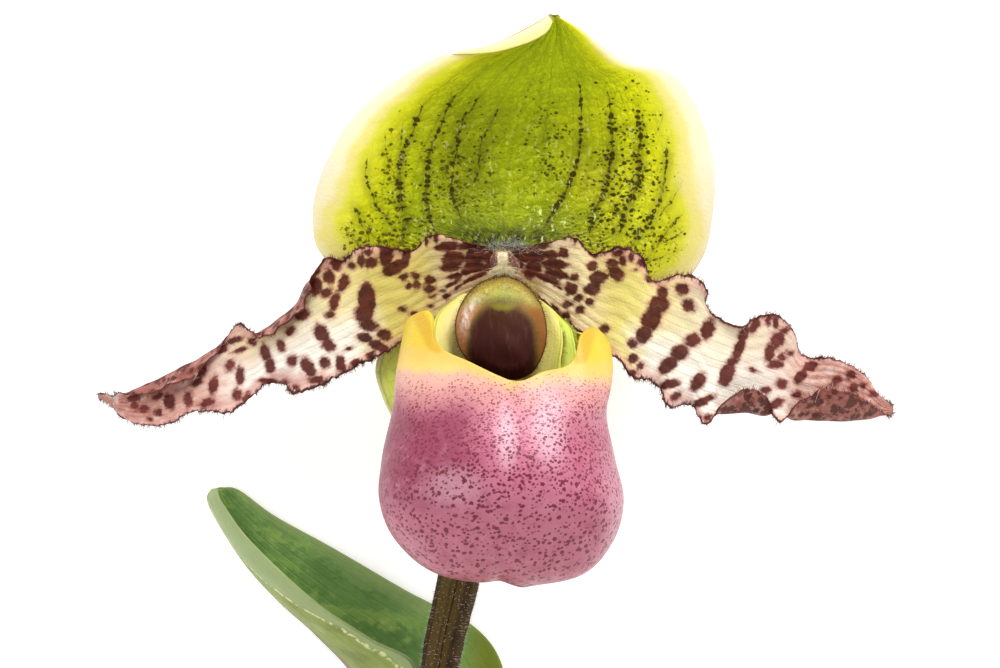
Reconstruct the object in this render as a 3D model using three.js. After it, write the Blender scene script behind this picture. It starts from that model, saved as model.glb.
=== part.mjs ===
// A paphiopedilum (slipper orchid) flower on its cut stem with one leaf, lying on its back.
// Millimetres. +Z is up, away from the surface that it lies on, and the flower faces +Z.
// +Y points to the tip of the dorsal sepal and +X to the flower's right-hand petal as seen from above.
// Every organ is placed from the heart of the flower, where the column meets the ovary.

import * as THREE from 'three';

// ---- driving dimensions --------------------------------------------------------------------

const HEART = new THREE.Vector3(1.0, 31.35, 17);   // heart of the flower above the middle of the box
const FLOOR = -HEART.z;                           // the surface below, seen from the heart

// Outlines are drawn as they look from straight above, on the level of the heart.
// `at` puts a drawn point at its own height, along the line of sight from the eye.
const EYE = { x: -0.5, y: -7.4, height: 380 };

const SEPAL_THICKNESS = 0.7;
const DORSAL_HOLLOW = 4.0;       // how strongly the dorsal sepal curves inside its margins
const PETAL_THICKNESS = 0.36;
const POUCH_THICKNESS = 0.75;
const BRACT_THICKNESS = 0.45;
const LEAF_THICKNESS = 0.9;
const MARGIN_SHARE = 0.5;        // thickness at the margin as a share of the thickness at the middle
// Thickness at the tip as a share of the thickness at the base.
const SEPAL_TIP_SHARE = 1;
const PETAL_TIP_SHARE = 0.6;
const BRACT_TIP_SHARE = 1;
const LEAF_TIP_SHARE = 0.2;

const BRACT_GAP = 0.45;
const BRACT_WRAP = 2.1;          // half of the angle that the bract's base wraps, in radians
const BRACT_TIP_WRAP = 0.14;     // how much of that angle is left at the bract's tip
const BRACT_TAPER = 1.6;
const BRACT_LIFT = 0.5;          // how far the tip stands off the ovary

const COLUMN_MIDDLE = -0.6;      // y of the column's axis
const COLUMN_RADIUS = 1.25;
const KNOB_RADIUS = 1.5;
const COLUMN_BACK = -2.6;
const COLUMN_FRONT = 2.7;
const SHIELD_DOME = 1.5;
const SHIELD_THICKNESS = 0.9;
const ANTHER_RADIUS = 0.75;

// ---- placing and interpolating --------------------------------------------------------------

function at(x, y, z) {
  const nearness = 1 - z / EYE.height;
  return new THREE.Vector3(EYE.x + (x - EYE.x) * nearness, EYE.y + (y - EYE.y) * nearness, z);
}

function spline(points) {
  return new THREE.CatmullRomCurve3(points, false, 'catmullrom', 0.5);
}

// A smooth value along 0..1 through evenly spaced values.
function along(values) {
  const curve = spline(values.map((value) => new THREE.Vector3(value, 0, 0)));
  return (t) => curve.getPoint(t).x;
}

// ---- closed solids --------------------------------------------------------------------------

function normalOf(surface, u, v) {
  const h = 1e-3;
  const du = surface(Math.min(u + h, 1), v).sub(surface(Math.max(u - h, 0), v));
  const dv = surface(u, v + h).sub(surface(u, v - h));
  return du.cross(dv).normalize();
}

function bufferGeometry(vertices, triangles) {
  const geometry = new THREE.BufferGeometry();
  const numbers = vertices.flatMap((p) => [p.x, p.y, p.z]);
  geometry.setAttribute('position', new THREE.Float32BufferAttribute(numbers, 3));
  geometry.setIndex(triangles.flat());
  geometry.computeVertexNormals();
  return geometry;
}

// A sheet around surface(u, v), with u in 0..1 and v in -1..1, that is thinner at its margins,
// where v is -1 or 1, and at its tip, where u is 1.
function sheet(surface, thickness, tipShare, stepsU, stepsV) {
  const vertices = [];
  const triangles = [];
  const row = stepsV + 1;
  const backStart = (stepsU + 1) * row;
  for (const side of [0.5, -0.5]) {
    for (let i = 0; i <= stepsU; i++) {
      for (let j = 0; j <= stepsV; j++) {
        const u = i / stepsU;
        const v = -1 + (2 * j) / stepsV;
        const share = (1 - (1 - MARGIN_SHARE) * v * v) * (1 - (1 - tipShare) * u ** 4);
        const normal = normalOf(surface, u, v);
        vertices.push(surface(u, v).addScaledVector(normal, side * thickness * share));
      }
    }
  }
  const wall = (a, b) => triangles.push([b, a, backStart + a], [b, backStart + a, backStart + b]);
  for (let i = 0; i < stepsU; i++) {
    for (let j = 0; j < stepsV; j++) {
      const [a, b, c, d] = [i * row + j, (i + 1) * row + j, (i + 1) * row + j + 1, i * row + j + 1];
      triangles.push([a, b, c], [a, c, d]);
      triangles.push([a, c, b].map((k) => backStart + k), [a, d, c].map((k) => backStart + k));
    }
    wall(i * row, (i + 1) * row);
    wall((i + 1) * row + stepsV, i * row + stepsV);
  }
  for (let j = 0; j < stepsV; j++) {
    wall(j + 1, j);
    wall(stepsU * row + j, stepsU * row + j + 1);
  }
  return bufferGeometry(vertices, triangles);
}

// A cup with an open rim at s = 0 and a closed end at s = 1, around surface(s, turn).
function cup(surface, thickness, stepsS, stepsTurn) {
  const vertices = [];
  const triangles = [];
  const innerStart = stepsS * stepsTurn + 1;
  for (const depth of [0, thickness]) {
    for (let i = 0; i < stepsS; i++) {
      for (let j = 0; j < stepsTurn; j++) {
        const [s, turn] = [i / stepsS, j / stepsTurn];
        vertices.push(surface(s, turn).addScaledVector(normalOf(surface, s, turn), -depth));
      }
    }
    vertices.push(surface(1, 0).add(new THREE.Vector3(0, depth, 0)));
  }
  const pole = stepsS * stepsTurn;
  for (let j = 0; j < stepsTurn; j++) {
    const next = (j + 1) % stepsTurn;
    for (let i = 0; i < stepsS - 1; i++) {
      const [a, b] = [i * stepsTurn + j, (i + 1) * stepsTurn + j];
      const [c, d] = [(i + 1) * stepsTurn + next, i * stepsTurn + next];
      triangles.push([a, b, c], [a, c, d]);
      triangles.push([a, c, b].map((k) => innerStart + k), [a, d, c].map((k) => innerStart + k));
    }
    const last = (stepsS - 1) * stepsTurn;
    triangles.push([last + j, pole, last + next]);
    triangles.push([innerStart + last + j, innerStart + last + next, innerStart + pole]);
    triangles.push([j, next, innerStart + next], [j, innerStart + next, innerStart + j]);
  }
  return bufferGeometry(vertices, triangles);
}

// A solid of round sections along a curve, with a radius that changes along it.
function tapered(curve, radius, steps, sides) {
  const frames = curve.computeFrenetFrames(steps, false);
  const vertices = [];
  const triangles = [];
  for (let i = 0; i <= steps; i++) {
    const centre = curve.getPointAt(i / steps);
    for (let j = 0; j < sides; j++) {
      const angle = (2 * Math.PI * j) / sides;
      const r = radius(i / steps);
      vertices.push(centre.clone()
        .addScaledVector(frames.normals[i], r * Math.cos(angle))
        .addScaledVector(frames.binormals[i], r * Math.sin(angle)));
    }
  }
  vertices.push(curve.getPointAt(0), curve.getPointAt(1));
  const [startCap, endCap] = [(steps + 1) * sides, (steps + 1) * sides + 1];
  for (let j = 0; j < sides; j++) {
    const next = (j + 1) % sides;
    for (let i = 0; i < steps; i++) {
      const [a, b, c, d] = [i * sides + j, i * sides + next, (i + 1) * sides + next, (i + 1) * sides + j];
      triangles.push([a, b, c], [a, c, d]);
    }
    triangles.push([startCap, next, j], [endCap, steps * sides + j, steps * sides + next]);
  }
  return bufferGeometry(vertices, triangles);
}

// ---- sepals ---------------------------------------------------------------------------------

// Rows from the base to the tip: drawn x, y of the left margin, of the middle and of the right
// margin, then the height of the middle and of the margins.
const DORSAL_ROWS = [
  [-1.4, 1.7, 0, 1.9, 1.4, 1.7, -2.3, -2.2],
  [-7.5, -0.6, 0.1, 2.8, 8.0, -1.2, -3.0, -3.8],
  [-14.8, -1.6, 0.3, 4.2, 16.0, -3.0, -3.6, -5.6],
  [-18.5, 0.8, 0.6, 6.2, 19.6, 0.0, -4.2, -6.2],
  [-19.3, 4.8, 1.0, 8.8, 21.0, 5.0, -4.6, -6.2],
  [-18.2, 9.0, 1.5, 11.6, 20.8, 10.0, -4.6, -6.0],
  [-15.2, 13.6, 2.1, 14.4, 19.0, 15.0, -4.2, -5.6],
  [-11.2, 17.2, 2.8, 17.0, 16.2, 18.6, -3.4, -4.6],
  [-6.8, 20.0, 3.5, 19.2, 12.4, 19.4, -2.4, -3.0],
  [-1.4, 21.4, 4.1, 21.2, 9.3, 21.0, -1.5, -1.2],
  [2.6, 23.3, 4.7, 23.0, 6.9, 23.0, -0.9, -0.3],
  [4.3, 24.4, 4.9, 24.5, 5.4, 24.3, -0.6, -0.4],
];

const SYNSEPAL_ROWS = [
  [-1.6, -2.7, 0, -2.8, 1.6, -2.7, -2.8, -2.8],
  [-7.0, -4.2, -0.6, -5.2, 5.6, -4.0, -3.3, -3.5],
  [-11.2, -7.2, -1.2, -8.5, 8.6, -7.0, -3.8, -3.8],
  [-12.9, -10.4, -1.8, -12.2, 9.4, -10.4, -4.2, -4.0],
  [-12.4, -13.3, -2.4, -16.0, 8.6, -14.4, -4.4, -4.2],
  [-10.6, -16.8, -3.0, -19.6, 6.2, -18.4, -4.6, -4.4],
  [-7.4, -20.6, -3.4, -22.6, 2.0, -21.8, -4.8, -4.7],
  [-4.2, -24.4, -3.7, -24.6, -3.1, -24.4, -5.0, -5.0],
];

function sepalSurface(rows, hollow) {
  const left = spline(rows.map(([x, y, , , , , , z]) => at(x, y, z)));
  const middle = spline(rows.map(([, , x, y, , , z]) => at(x, y, z)));
  const right = spline(rows.map(([, , , , x, y, , z]) => at(x, y, z)));
  return (u, v) => {
    const point = middle.getPoint(u).multiplyScalar(1 - v * v);
    point.addScaledVector(left.getPoint(u), (v * v - v) / 2);
    point.addScaledVector(right.getPoint(u), (v * v + v) / 2);
    point.z += hollow * Math.sin(Math.PI * u) * (v * v - v ** 4);
    return point;
  };
}

// ---- petals ---------------------------------------------------------------------------------

// Rows from the base to the tip: drawn x, y of the upper outline, x, y of the lower outline,
// height of the middle, how far the upper and the lower margin wave up,
// and how far the upper and the lower margin roll over the face.
const LEFT_PETAL_ROWS = [
  [-1.9, 0.9, -2.2, -2.2, -1.2, 0, 0, 0, 0],
  [-3.8, 1.8, -4.3, -4.0, -0.9, 0.2, 0.0, 0, 0],
  [-7.1, 2.6, -7.1, -6.0, -0.8, 0.8, 0.0, 0, 0],
  [-9.5, 1.0, -10.0, -7.8, -1.2, -0.5, 0.1, 0, 0],
  [-12.1, 1.4, -12.1, -9.4, -1.8, 0.9, 0.3, 0, 0],
  [-14.5, 1.3, -14.3, -10.4, -2.6, 0.4, 0.2, 0, 0],
  [-16.0, 0.0, -16.5, -11.6, -3.3, -0.8, 0.6, 0, 0],
  [-18.3, 0.1, -18.5, -12.6, -4.2, 0.7, 0.7, 0, 0],
  [-19.8, -2.4, -20.8, -13.3, -5.2, 0.4, -0.4, 0.7, 0],
  [-20.7, -4.1, -22.5, -12.4, -5.9, 0.2, -0.6, 1.1, 0],
  [-23.0, -5.9, -24.3, -12.6, -6.9, 0.0, 0.2, 1.3, 0],
  [-25.3, -7.3, -25.8, -14.2, -7.9, -0.2, 0.8, 0.8, 0],
  [-26.5, -6.8, -27.7, -15.3, -8.8, 0.9, 0.3, 0, 0],
  [-28.0, -8.0, -30.0, -15.1, -9.8, 0.3, -0.4, 0.8, 0],
  [-30.5, -9.7, -32.1, -15.4, -11.2, 0.1, 0.2, 1.5, 0],
  [-33.5, -11.3, -34.3, -16.2, -12.6, 0.1, 0.5, 1.3, 0.2],
  [-36.3, -12.4, -36.7, -16.2, -14.0, 0.2, 0.2, 0.8, 0.4],
  [-38.3, -13.2, -38.3, -15.0, -15.2, 0.2, 0.0, 0, 0],
  [-39.2, -13.6, -39.1, -14.3, -15.8, 0.0, 0.0, 0, 0],
  [-40.3, -13.3, -40.2, -14.0, -16.4, 0.1, 0.0, 0, 0],
  [-40.7, -13.4, -40.7, -13.8, -16.7, 0.0, 0.0, 0, 0],
];

const RIGHT_PETAL_ROWS = [
  [1.9, 0.9, 2.2, -2.2, -1.2, 0, 0, 0, 0],
  [4.0, 1.7, 4.1, -4.3, -0.9, 0.2, 0.0, 0, 0],
  [6.9, 2.3, 7.2, -7.0, -0.8, 0.6, 0.0, 0, 0],
  [8.7, 0.7, 9.9, -9.0, -1.2, -0.6, 0.1, 0, 0],
  [11.7, 1.3, 11.3, -10.1, -1.8, 0.8, 0.4, 0, 0],
  [13.5, 0.4, 12.5, -11.7, -2.5, 0.2, 0.5, 0, 0],
  [15.0, -2.0, 14.3, -12.0, -3.3, -0.8, -0.2, 0, 0],
  [17.5, -1.4, 15.6, -13.0, -4.1, 0.7, -0.3, 0, 0],
  [19.5, -2.0, 16.3, -14.8, -5.0, 0.8, 0.7, 0, 0],
  [20.0, -3.8, 18.5, -14.5, -5.6, -0.2, -0.4, 0.2, 0],
  [20.9, -5.2, 20.1, -16.3, -6.2, -0.3, 0.8, 0.8, 0],
  [23.3, -6.5, 21.7, -15.1, -7.3, -0.5, 0.1, 0.7, 0.8],
  [25.2, -5.7, 24.0, -15.1, -8.4, 0.4, -0.2, 0, 1.6],
  [27.0, -5.4, 26.0, -15.3, -9.4, 0.9, -0.1, 0, 1.2],
  [28.6, -6.7, 27.4, -16.3, -10.2, 0.4, 0.8, 0, 0],
  [29.3, -9.0, 28.7, -15.8, -11.0, -0.6, 0.1, 0, 0.8],
  [30.7, -9.8, 30.5, -15.9, -12.0, -0.3, -0.2, 0, 1.8],
  [32.3, -9.7, 32.7, -16.0, -13.0, 0.6, -0.1, 0, 2.3],
  [34.3, -10.4, 35.0, -15.9, -14.0, 0.4, 0.1, 0, 1.9],
  [36.1, -11.6, 36.5, -15.8, -14.9, 0.1, 0.1, 0, 1.2],
  [37.4, -13.4, 37.5, -15.7, -15.8, 0.0, 0.0, 0, 0.5],
  [38.3, -14.2, 38.3, -15.6, -16.4, 0.0, 0.0, 0, 0],
  [38.8, -14.6, 38.8, -15.3, -16.7, 0.0, 0.0, 0, 0],
];

const PETAL_SHOULDER = 0.6;      // where the face begins to bend towards the margin, from the middle
const FULL_ROLL = 0.8;           // a margin that rolls this far has its shoulder on the outline
const ROLL_LIFT = 1.8;           // rise of a rolled margin for each millimetre that it rolls
const ROLL_INWARD = 0.8;         // how far its edge comes back in, for each millimetre that it rolls

// From the middle of the petal to one margin: the shoulder and the margin, drawn.
function petalSide(outline, middle, depth, wave, roll) {
  const shoulder = PETAL_SHOULDER + (1 - PETAL_SHOULDER) * Math.min(1, roll / FULL_ROLL);
  const width = Math.hypot(outline[0] - middle[0], outline[1] - middle[1]);
  const inward = 1 - Math.min((roll * ROLL_INWARD) / width, 0.9);
  const drawn = (share) => [0, 1].map((k) => middle[k] + (outline[k] - middle[k]) * share);
  return [
    at(...drawn(shoulder), depth + wave * PETAL_SHOULDER ** 2),
    at(...drawn(inward), depth + wave + roll * ROLL_LIFT),
  ];
}

function petalSurface(rows) {
  const lines = [[], [], [], [], []];
  for (const [upX, upY, lowX, lowY, depth, upWave, lowWave, upRoll, lowRoll] of rows) {
    const middle = [(upX + lowX) / 2, (upY + lowY) / 2];
    const [lowShoulder, lowMargin] = petalSide([lowX, lowY], middle, depth, lowWave, lowRoll);
    const [upShoulder, upMargin] = petalSide([upX, upY], middle, depth, upWave, upRoll);
    const section = [lowMargin, lowShoulder, at(...middle, depth), upShoulder, upMargin];
    section.forEach((point, k) => lines[k].push(point));
  }
  const curves = lines.map(spline);
  return (u, v) => {
    const across = THREE.MathUtils.clamp((v + 1) / 2, 0, 1);
    return spline(curves.map((curve) => curve.getPoint(u))).getPoint(across);
  };
}

// ---- pouch ----------------------------------------------------------------------------------

// The rim, from the back of the mouth round by the left ear, the front and the right ear:
// drawn x, y and height.
const POUCH_RIM = [
  [0.3, -3.0, 0.5], [-2.2, -3.5, 0.6], [-4.8, -4.6, 0.9], [-6.8, -5.8, 1.8], [-8.8, -6.8, 3.2],
  [-10.1, -6.8, 5.2], [-9.4, -5.7, 7.6], [-7.6, -5.4, 9.6], [-6.8, -8.6, 11.6], [-3.6, -10.3, 13.4],
  [0.9, -12.2, 14.4], [3.8, -11.3, 13.4], [6.6, -10.4, 11.6], [7.7, -7.6, 9.6], [9.2, -6.9, 7.6],
  [10.6, -8.6, 5.2], [9.6, -8.6, 3.2], [7.2, -7.4, 1.8], [5.0, -5.2, 0.9], [2.6, -3.6, 0.6],
];

// Rings from below the rim to the toe: drawn y at the back and at the front, drawn x of the left
// and of the right side, height of the back and of the front.
const POUCH_RINGS = [
  [-8.0, -14.8, -10.8, 10.4, 0.0, 15.6],
  [-13.0, -18.0, -11.4, 10.4, -0.9, 17.3],
  [-18.5, -21.4, -12.7, 11.5, -1.4, 18.3],
  [-23.2, -24.6, -12.8, 11.8, -0.9, 18.0],
  [-27.8, -28.2, -11.1, 11.0, 1.2, 15.8],
  [-31.1, -31.5, -6.9, 8.2, 4.6, 12.6],
];
const POUCH_TOE = [1.2, -32.6, 8.7];
const POUCH_SQUARENESS = 0.86;   // 1 is an oval section, less is squarer

function roundPower(value) {
  return Math.sign(value) * Math.abs(value) ** POUCH_SQUARENESS;
}

function pouchRingPoint([backY, frontY, leftX, rightX, back, front], turn) {
  const side = roundPower(Math.sin(2 * Math.PI * turn));
  const forward = -roundPower(Math.cos(2 * Math.PI * turn));
  const middleX = (leftX + rightX) / 2;
  const x = middleX - (side * (rightX - leftX)) / 2;
  const y = backY + ((frontY - backY) * (1 + forward)) / 2;
  return at(x, y, back + ((front - back) * (1 + forward)) / 2);
}

function pouchSurface() {
  const rim = new THREE.CatmullRomCurve3(POUCH_RIM.map((point) => at(...point)), true, 'catmullrom', 0.5);
  return (s, turn) => {
    const around = turn - Math.floor(turn);
    const rings = POUCH_RINGS.map((ring) => pouchRingPoint(ring, around));
    return spline([rim.getPoint(around), ...rings, at(...POUCH_TOE)]).getPoint(s);
  };
}

// ---- column and shield ----------------------------------------------------------------------

const SHIELD_OUTLINE = [
  [-0.4, -1.6], [-2.6, -2.3], [-4.2, -4.0], [-5.0, -6.3], [-4.6, -8.8], [-3.0, -10.7],
  [-0.9, -11.7], [1.0, -12.0], [2.8, -11.2], [3.9, -9.2], [4.2, -7.0], [3.7, -4.6], [2.4, -2.7],
  [0.9, -1.8],
];
const SHIELD_MIDDLE = [-0.2, -6.8];
const SHIELD_TOP_HEIGHT = 3.2;
const SHIELD_SLOPE = 0.4;        // rise of the shield for each millimetre towards its tip
const SHIELD_START = -1.6;

function shieldGeometry(rings, sides) {
  const corners = SHIELD_OUTLINE.map(([x, y]) => new THREE.Vector3(x, y, 0));
  const outline = new THREE.CatmullRomCurve3(corners, true, 'catmullrom', 0.5);
  const vertices = [];
  const triangles = [];
  const place = (x, y, lift) => at(x, y, SHIELD_TOP_HEIGHT + SHIELD_SLOPE * (SHIELD_START - y) + lift);
  const backStart = 1 + rings * sides;
  for (const front of [true, false]) {
    const thickness = (share) => (front ? SHIELD_THICKNESS * (1 - share ** 4 / 2) : 0);
    const lift = (share) => SHIELD_DOME * (1 - share * share) + thickness(share);
    vertices.push(place(...SHIELD_MIDDLE, lift(0)));
    for (let i = 1; i <= rings; i++) {
      for (let j = 0; j < sides; j++) {
        const edge = outline.getPoint(j / sides);
        const share = i / rings;
        const x = SHIELD_MIDDLE[0] + (edge.x - SHIELD_MIDDLE[0]) * share;
        const y = SHIELD_MIDDLE[1] + (edge.y - SHIELD_MIDDLE[1]) * share;
        vertices.push(place(x, y, lift(share)));
      }
    }
  }
  const ringVertex = (i, j) => 1 + (i - 1) * sides + (j % sides);
  const both = (a, b, c) => triangles.push([a, b, c], [backStart + a, backStart + c, backStart + b]);
  for (let j = 0; j < sides; j++) {
    both(0, ringVertex(1, j), ringVertex(1, j + 1));
    for (let i = 1; i < rings; i++) {
      both(ringVertex(i, j), ringVertex(i + 1, j), ringVertex(i + 1, j + 1));
      both(ringVertex(i, j), ringVertex(i + 1, j + 1), ringVertex(i, j + 1));
    }
    const [a, b] = [ringVertex(rings, j), ringVertex(rings, j + 1)];
    triangles.push([b, a, backStart + a], [b, backStart + a, backStart + b]);
  }
  return bufferGeometry(vertices, triangles);
}

function columnGeometry() {
  const profile = [
    [0, COLUMN_BACK], [COLUMN_RADIUS, COLUMN_BACK], [COLUMN_RADIUS * 0.92, 0], [KNOB_RADIUS, 1.3],
    [KNOB_RADIUS * 0.92, 2.1], [KNOB_RADIUS * 0.6, COLUMN_FRONT - 0.15], [0, COLUMN_FRONT],
  ].map(([r, z]) => new THREE.Vector2(r, z));
  return new THREE.LatheGeometry(profile, 20).rotateX(Math.PI / 2);
}

// ---- stem, ovary and bract ------------------------------------------------------------------

// Middle lines: drawn x, y and height.
const OVARY_LINE = [
  [0, -0.5, -3.2], [0, -0.7, -4.6], [-0.2, -2.6, -6.9], [-0.6, -6.5, -8.4], [-1.4, -12.0, -8.8],
  [-2.5, -18.5, -8.4], [-3.6, -25.0, -7.8],
];
const OVARY_RADII = [1.7, 1.75, 2.0, 2.25, 2.3, 2.2, 2.1];
const STEM_LINE = [
  [-3.68, -25.4, -7.76], [-4.6, -31.0, -7.5], [-6.4, -40.0, -7.6], [-7.4, -49.0, -8.2],
  [-8.0, -60.0, -9.8], [-8.3, -72.0, -11.8], [-8.4, -84.0, -13.4],
];
const STEM_RADII = [2.1, 2.05, 1.9, 1.9, 1.9, 1.95, 2.05];
const BRACT_FROM = 0.98;         // where the bract's base and tip lie along the ovary
const BRACT_TO = 0.42;

function roundPath(line) {
  return spline(line.map((point) => at(...point)));
}

function bractSurface() {
  const line = roundPath(OVARY_LINE);
  const radius = along(OVARY_RADII);
  const sideways = new THREE.Vector3(1, 0, 0);
  return (u, v) => {
    const t = BRACT_FROM + (BRACT_TO - BRACT_FROM) * u;
    const forward = line.getTangent(t);
    const up = new THREE.Vector3().crossVectors(forward, sideways).normalize();
    const wrap = BRACT_WRAP * (1 - (1 - BRACT_TIP_WRAP) * u ** BRACT_TAPER) * v;
    const reach = radius(t) + BRACT_GAP + BRACT_THICKNESS / 2 + BRACT_LIFT * u;
    return line.getPoint(t)
      .addScaledVector(up, -reach * Math.cos(wrap))
      .addScaledVector(sideways, reach * Math.sin(wrap));
  };
}

// ---- leaf -----------------------------------------------------------------------------------

// Rows from the cut base to the tip: drawn x, y of the keel, of the near margin and of the far
// margin, then the height above the floor of the near margin and of the far margin.
const LEAF_ROWS = [
  [-8.4, -84.0, -12.0, -84.0, -4.8, -84.0, 5.0, 5.0],
  [-8.5, -75.4, -12.2, -75.2, -3.9, -76.0, 6.2, 4.0],
  [-8.9, -66.6, -12.2, -66.0, -2.0, -67.6, 7.4, 2.6],
  [-9.8, -58.0, -11.8, -56.6, -0.2, -59.2, 8.2, 1.6],
  [-11.6, -49.4, -11.0, -47.6, 0.7, -50.6, 8.4, 1.0],
  [-14.6, -42.1, -9.9, -41.0, 0.2, -42.4, 7.8, 0.8],
  [-18.8, -37.3, -13.4, -37.6, -2.9, -37.2, 7.4, 0.8],
  [-22.5, -34.0, -17.8, -34.9, -9.8, -33.1, 6.8, 0.8],
  [-25.6, -30.6, -21.9, -31.1, -17.2, -28.8, 6.0, 0.8],
  [-28.0, -27.0, -25.3, -27.2, -23.0, -25.6, 4.8, 0.7],
  [-29.5, -24.2, -28.0, -24.0, -26.6, -23.2, 3.2, 0.6],
  [-29.3, -22.9, -28.8, -22.8, -28.4, -22.7, 2.2, 0.5],
];
const KEEL_HEIGHT = 0.45;
// Where each half bends, from the base to the tip: its share of the way out and of the way up.
const NEAR_BEND_OUT = along([1.0, 0.9, 0.5, 0.1, 0.1, 0.2, 0.4]);
const NEAR_BEND_UP = along([0.1, 0.15, 0.4, 0.7, 0.7, 0.6, 0.5]);
const FAR_BEND_OUT = along([1.0, 0.8, 0.6, 0.5, 0.5, 0.5, 0.5]);
const FAR_BEND_UP = along([0.1, 0.1, 0.2, 0.2, 0.2, 0.3, 0.4]);

function leafSurface() {
  const line = (pick) => spline(LEAF_ROWS.map(pick));
  const keel = line(([x, y]) => at(x, y, FLOOR + KEEL_HEIGHT));
  const near = line(([, , x, y, , , lift]) => at(x, y, FLOOR + lift));
  const far = line(([, , , , x, y, , lift]) => at(x, y, FLOOR + lift));
  return (u, v) => {
    const fold = keel.getPoint(u);
    const isNear = v < 0;
    const margin = (isNear ? near : far).getPoint(u);
    const bend = fold.clone().lerp(margin, (isNear ? NEAR_BEND_OUT : FAR_BEND_OUT)(u));
    bend.z = THREE.MathUtils.lerp(fold.z, margin.z, (isNear ? NEAR_BEND_UP : FAR_BEND_UP)(u));
    const across = Math.abs(v);
    return fold.multiplyScalar((1 - across) ** 2)
      .addScaledVector(bend, 2 * across * (1 - across))
      .addScaledVector(margin, across ** 2);
  };
}

// ---- the flower -----------------------------------------------------------------------------

const flower = new THREE.Group();
flower.position.copy(HEART);

function add(name, geometry, color, roughness) {
  const mesh = new THREE.Mesh(geometry, new THREE.MeshStandardMaterial({ color, roughness, metalness: 0 }));
  mesh.name = name;
  flower.add(mesh);
  return mesh;
}

const dorsalSurface = sepalSurface(DORSAL_ROWS, DORSAL_HOLLOW);
add('dorsal_sepal', sheet(dorsalSurface, SEPAL_THICKNESS, SEPAL_TIP_SHARE, 24, 14), 0xa9b81f, 0.45);
const synsepalSurface = sepalSurface(SYNSEPAL_ROWS, 0);
add('synsepal', sheet(synsepalSurface, SEPAL_THICKNESS, SEPAL_TIP_SHARE, 14, 8), 0xa8b84a, 0.5);
for (const [name, rows] of [['left_petal', LEFT_PETAL_ROWS], ['right_petal', RIGHT_PETAL_ROWS]]) {
  const petal = sheet(petalSurface(rows), PETAL_THICKNESS, PETAL_TIP_SHARE, 2 * rows.length, 12);
  add(name, petal, 0xe6cfae, 0.5);
}
add('lip_pouch', cup(pouchSurface(), POUCH_THICKNESS, 14, 40), 0xc06a7c, 0.4);
add('column', columnGeometry(), 0xe8d9c8, 0.6).position.y = COLUMN_MIDDLE;
add('staminode_shield', shieldGeometry(4, 28), 0x40201a, 0.3);
const stigma = new THREE.SphereGeometry(1, 14, 10).scale(1.3, 1.2, 0.45);
add('stigma', stigma, 0xd8cf9a, 0.5).position.set(0.1, -4.0, 2.3);
for (const [name, side] of [['left_anther', -1], ['right_anther', 1]]) {
  const anther = new THREE.SphereGeometry(ANTHER_RADIUS, 12, 8).scale(1, 1.25, 0.9);
  add(name, anther, 0xd9b13c, 0.5).position.set(side * 2.4, -3.2, 2.5);
}
add('ovary', tapered(roundPath(OVARY_LINE), along(OVARY_RADII), 16, 14), 0x6f6a3a, 0.7);
add('floral_bract', sheet(bractSurface(), BRACT_THICKNESS, BRACT_TIP_SHARE, 10, 8), 0x7d8a45, 0.6);
add('stem', tapered(roundPath(STEM_LINE), along(STEM_RADII), 18, 14), 0x4d3a24, 0.7);
add('leaf', sheet(leafSurface(), LEAF_THICKNESS, LEAF_TIP_SHARE, 32, 10), 0x5f7f3f, 0.45);

export default flower;
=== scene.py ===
"""Looks of the slipper orchid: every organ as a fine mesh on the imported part's own nets.

Organs are drawn as the part draws them: in millimetres from the heart of the flower, with x and y
as they look from straight above on the heart's level. `at` gives a drawn point its own height.
"""

import math

import bpy
import numpy as np
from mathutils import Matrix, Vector


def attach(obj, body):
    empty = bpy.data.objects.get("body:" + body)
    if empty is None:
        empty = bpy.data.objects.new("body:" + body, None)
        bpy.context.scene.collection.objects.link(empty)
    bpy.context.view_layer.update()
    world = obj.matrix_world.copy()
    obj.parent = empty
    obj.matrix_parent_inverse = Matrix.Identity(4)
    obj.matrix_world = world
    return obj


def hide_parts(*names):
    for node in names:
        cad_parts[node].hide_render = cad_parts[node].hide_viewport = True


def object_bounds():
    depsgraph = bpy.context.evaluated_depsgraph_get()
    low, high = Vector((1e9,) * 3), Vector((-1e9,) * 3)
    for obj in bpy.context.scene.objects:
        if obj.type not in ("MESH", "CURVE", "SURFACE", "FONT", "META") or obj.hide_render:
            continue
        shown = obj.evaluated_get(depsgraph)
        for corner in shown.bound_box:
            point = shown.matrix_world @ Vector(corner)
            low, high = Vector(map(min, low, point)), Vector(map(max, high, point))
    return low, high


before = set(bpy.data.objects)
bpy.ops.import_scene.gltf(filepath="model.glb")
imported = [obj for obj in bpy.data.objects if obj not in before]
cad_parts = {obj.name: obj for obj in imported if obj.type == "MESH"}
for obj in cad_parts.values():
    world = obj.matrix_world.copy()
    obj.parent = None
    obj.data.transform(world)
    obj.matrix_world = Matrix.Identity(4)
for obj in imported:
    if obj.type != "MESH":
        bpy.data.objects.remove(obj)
CAD_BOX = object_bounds()

MM = 0.001
TINY = 1e-12
HEART = np.array((1.0, 31.35, 17.0))     # the flower's heart in the part's frame, in millimetres
FLOOR = -HEART[2]                        # the surface that the flower lies on, seen from the heart
EYE_X, EYE_Y, EYE_HEIGHT = -0.5, -7.4, 380.0
random = np.random.default_rng(20)       # one source for all hairs, drawn from in a fixed order


# ---- points and curves ---------------------------------------------------------------------

def at(x, y, z):
    """A drawn point at its own height, on the line of sight from the eye."""
    x, y, z = np.broadcast_arrays(x, y, z)
    nearness = 1 - z / EYE_HEIGHT
    return np.stack((EYE_X + (x - EYE_X) * nearness, EYE_Y + (y - EYE_Y) * nearness, z), axis=-1)


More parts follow.
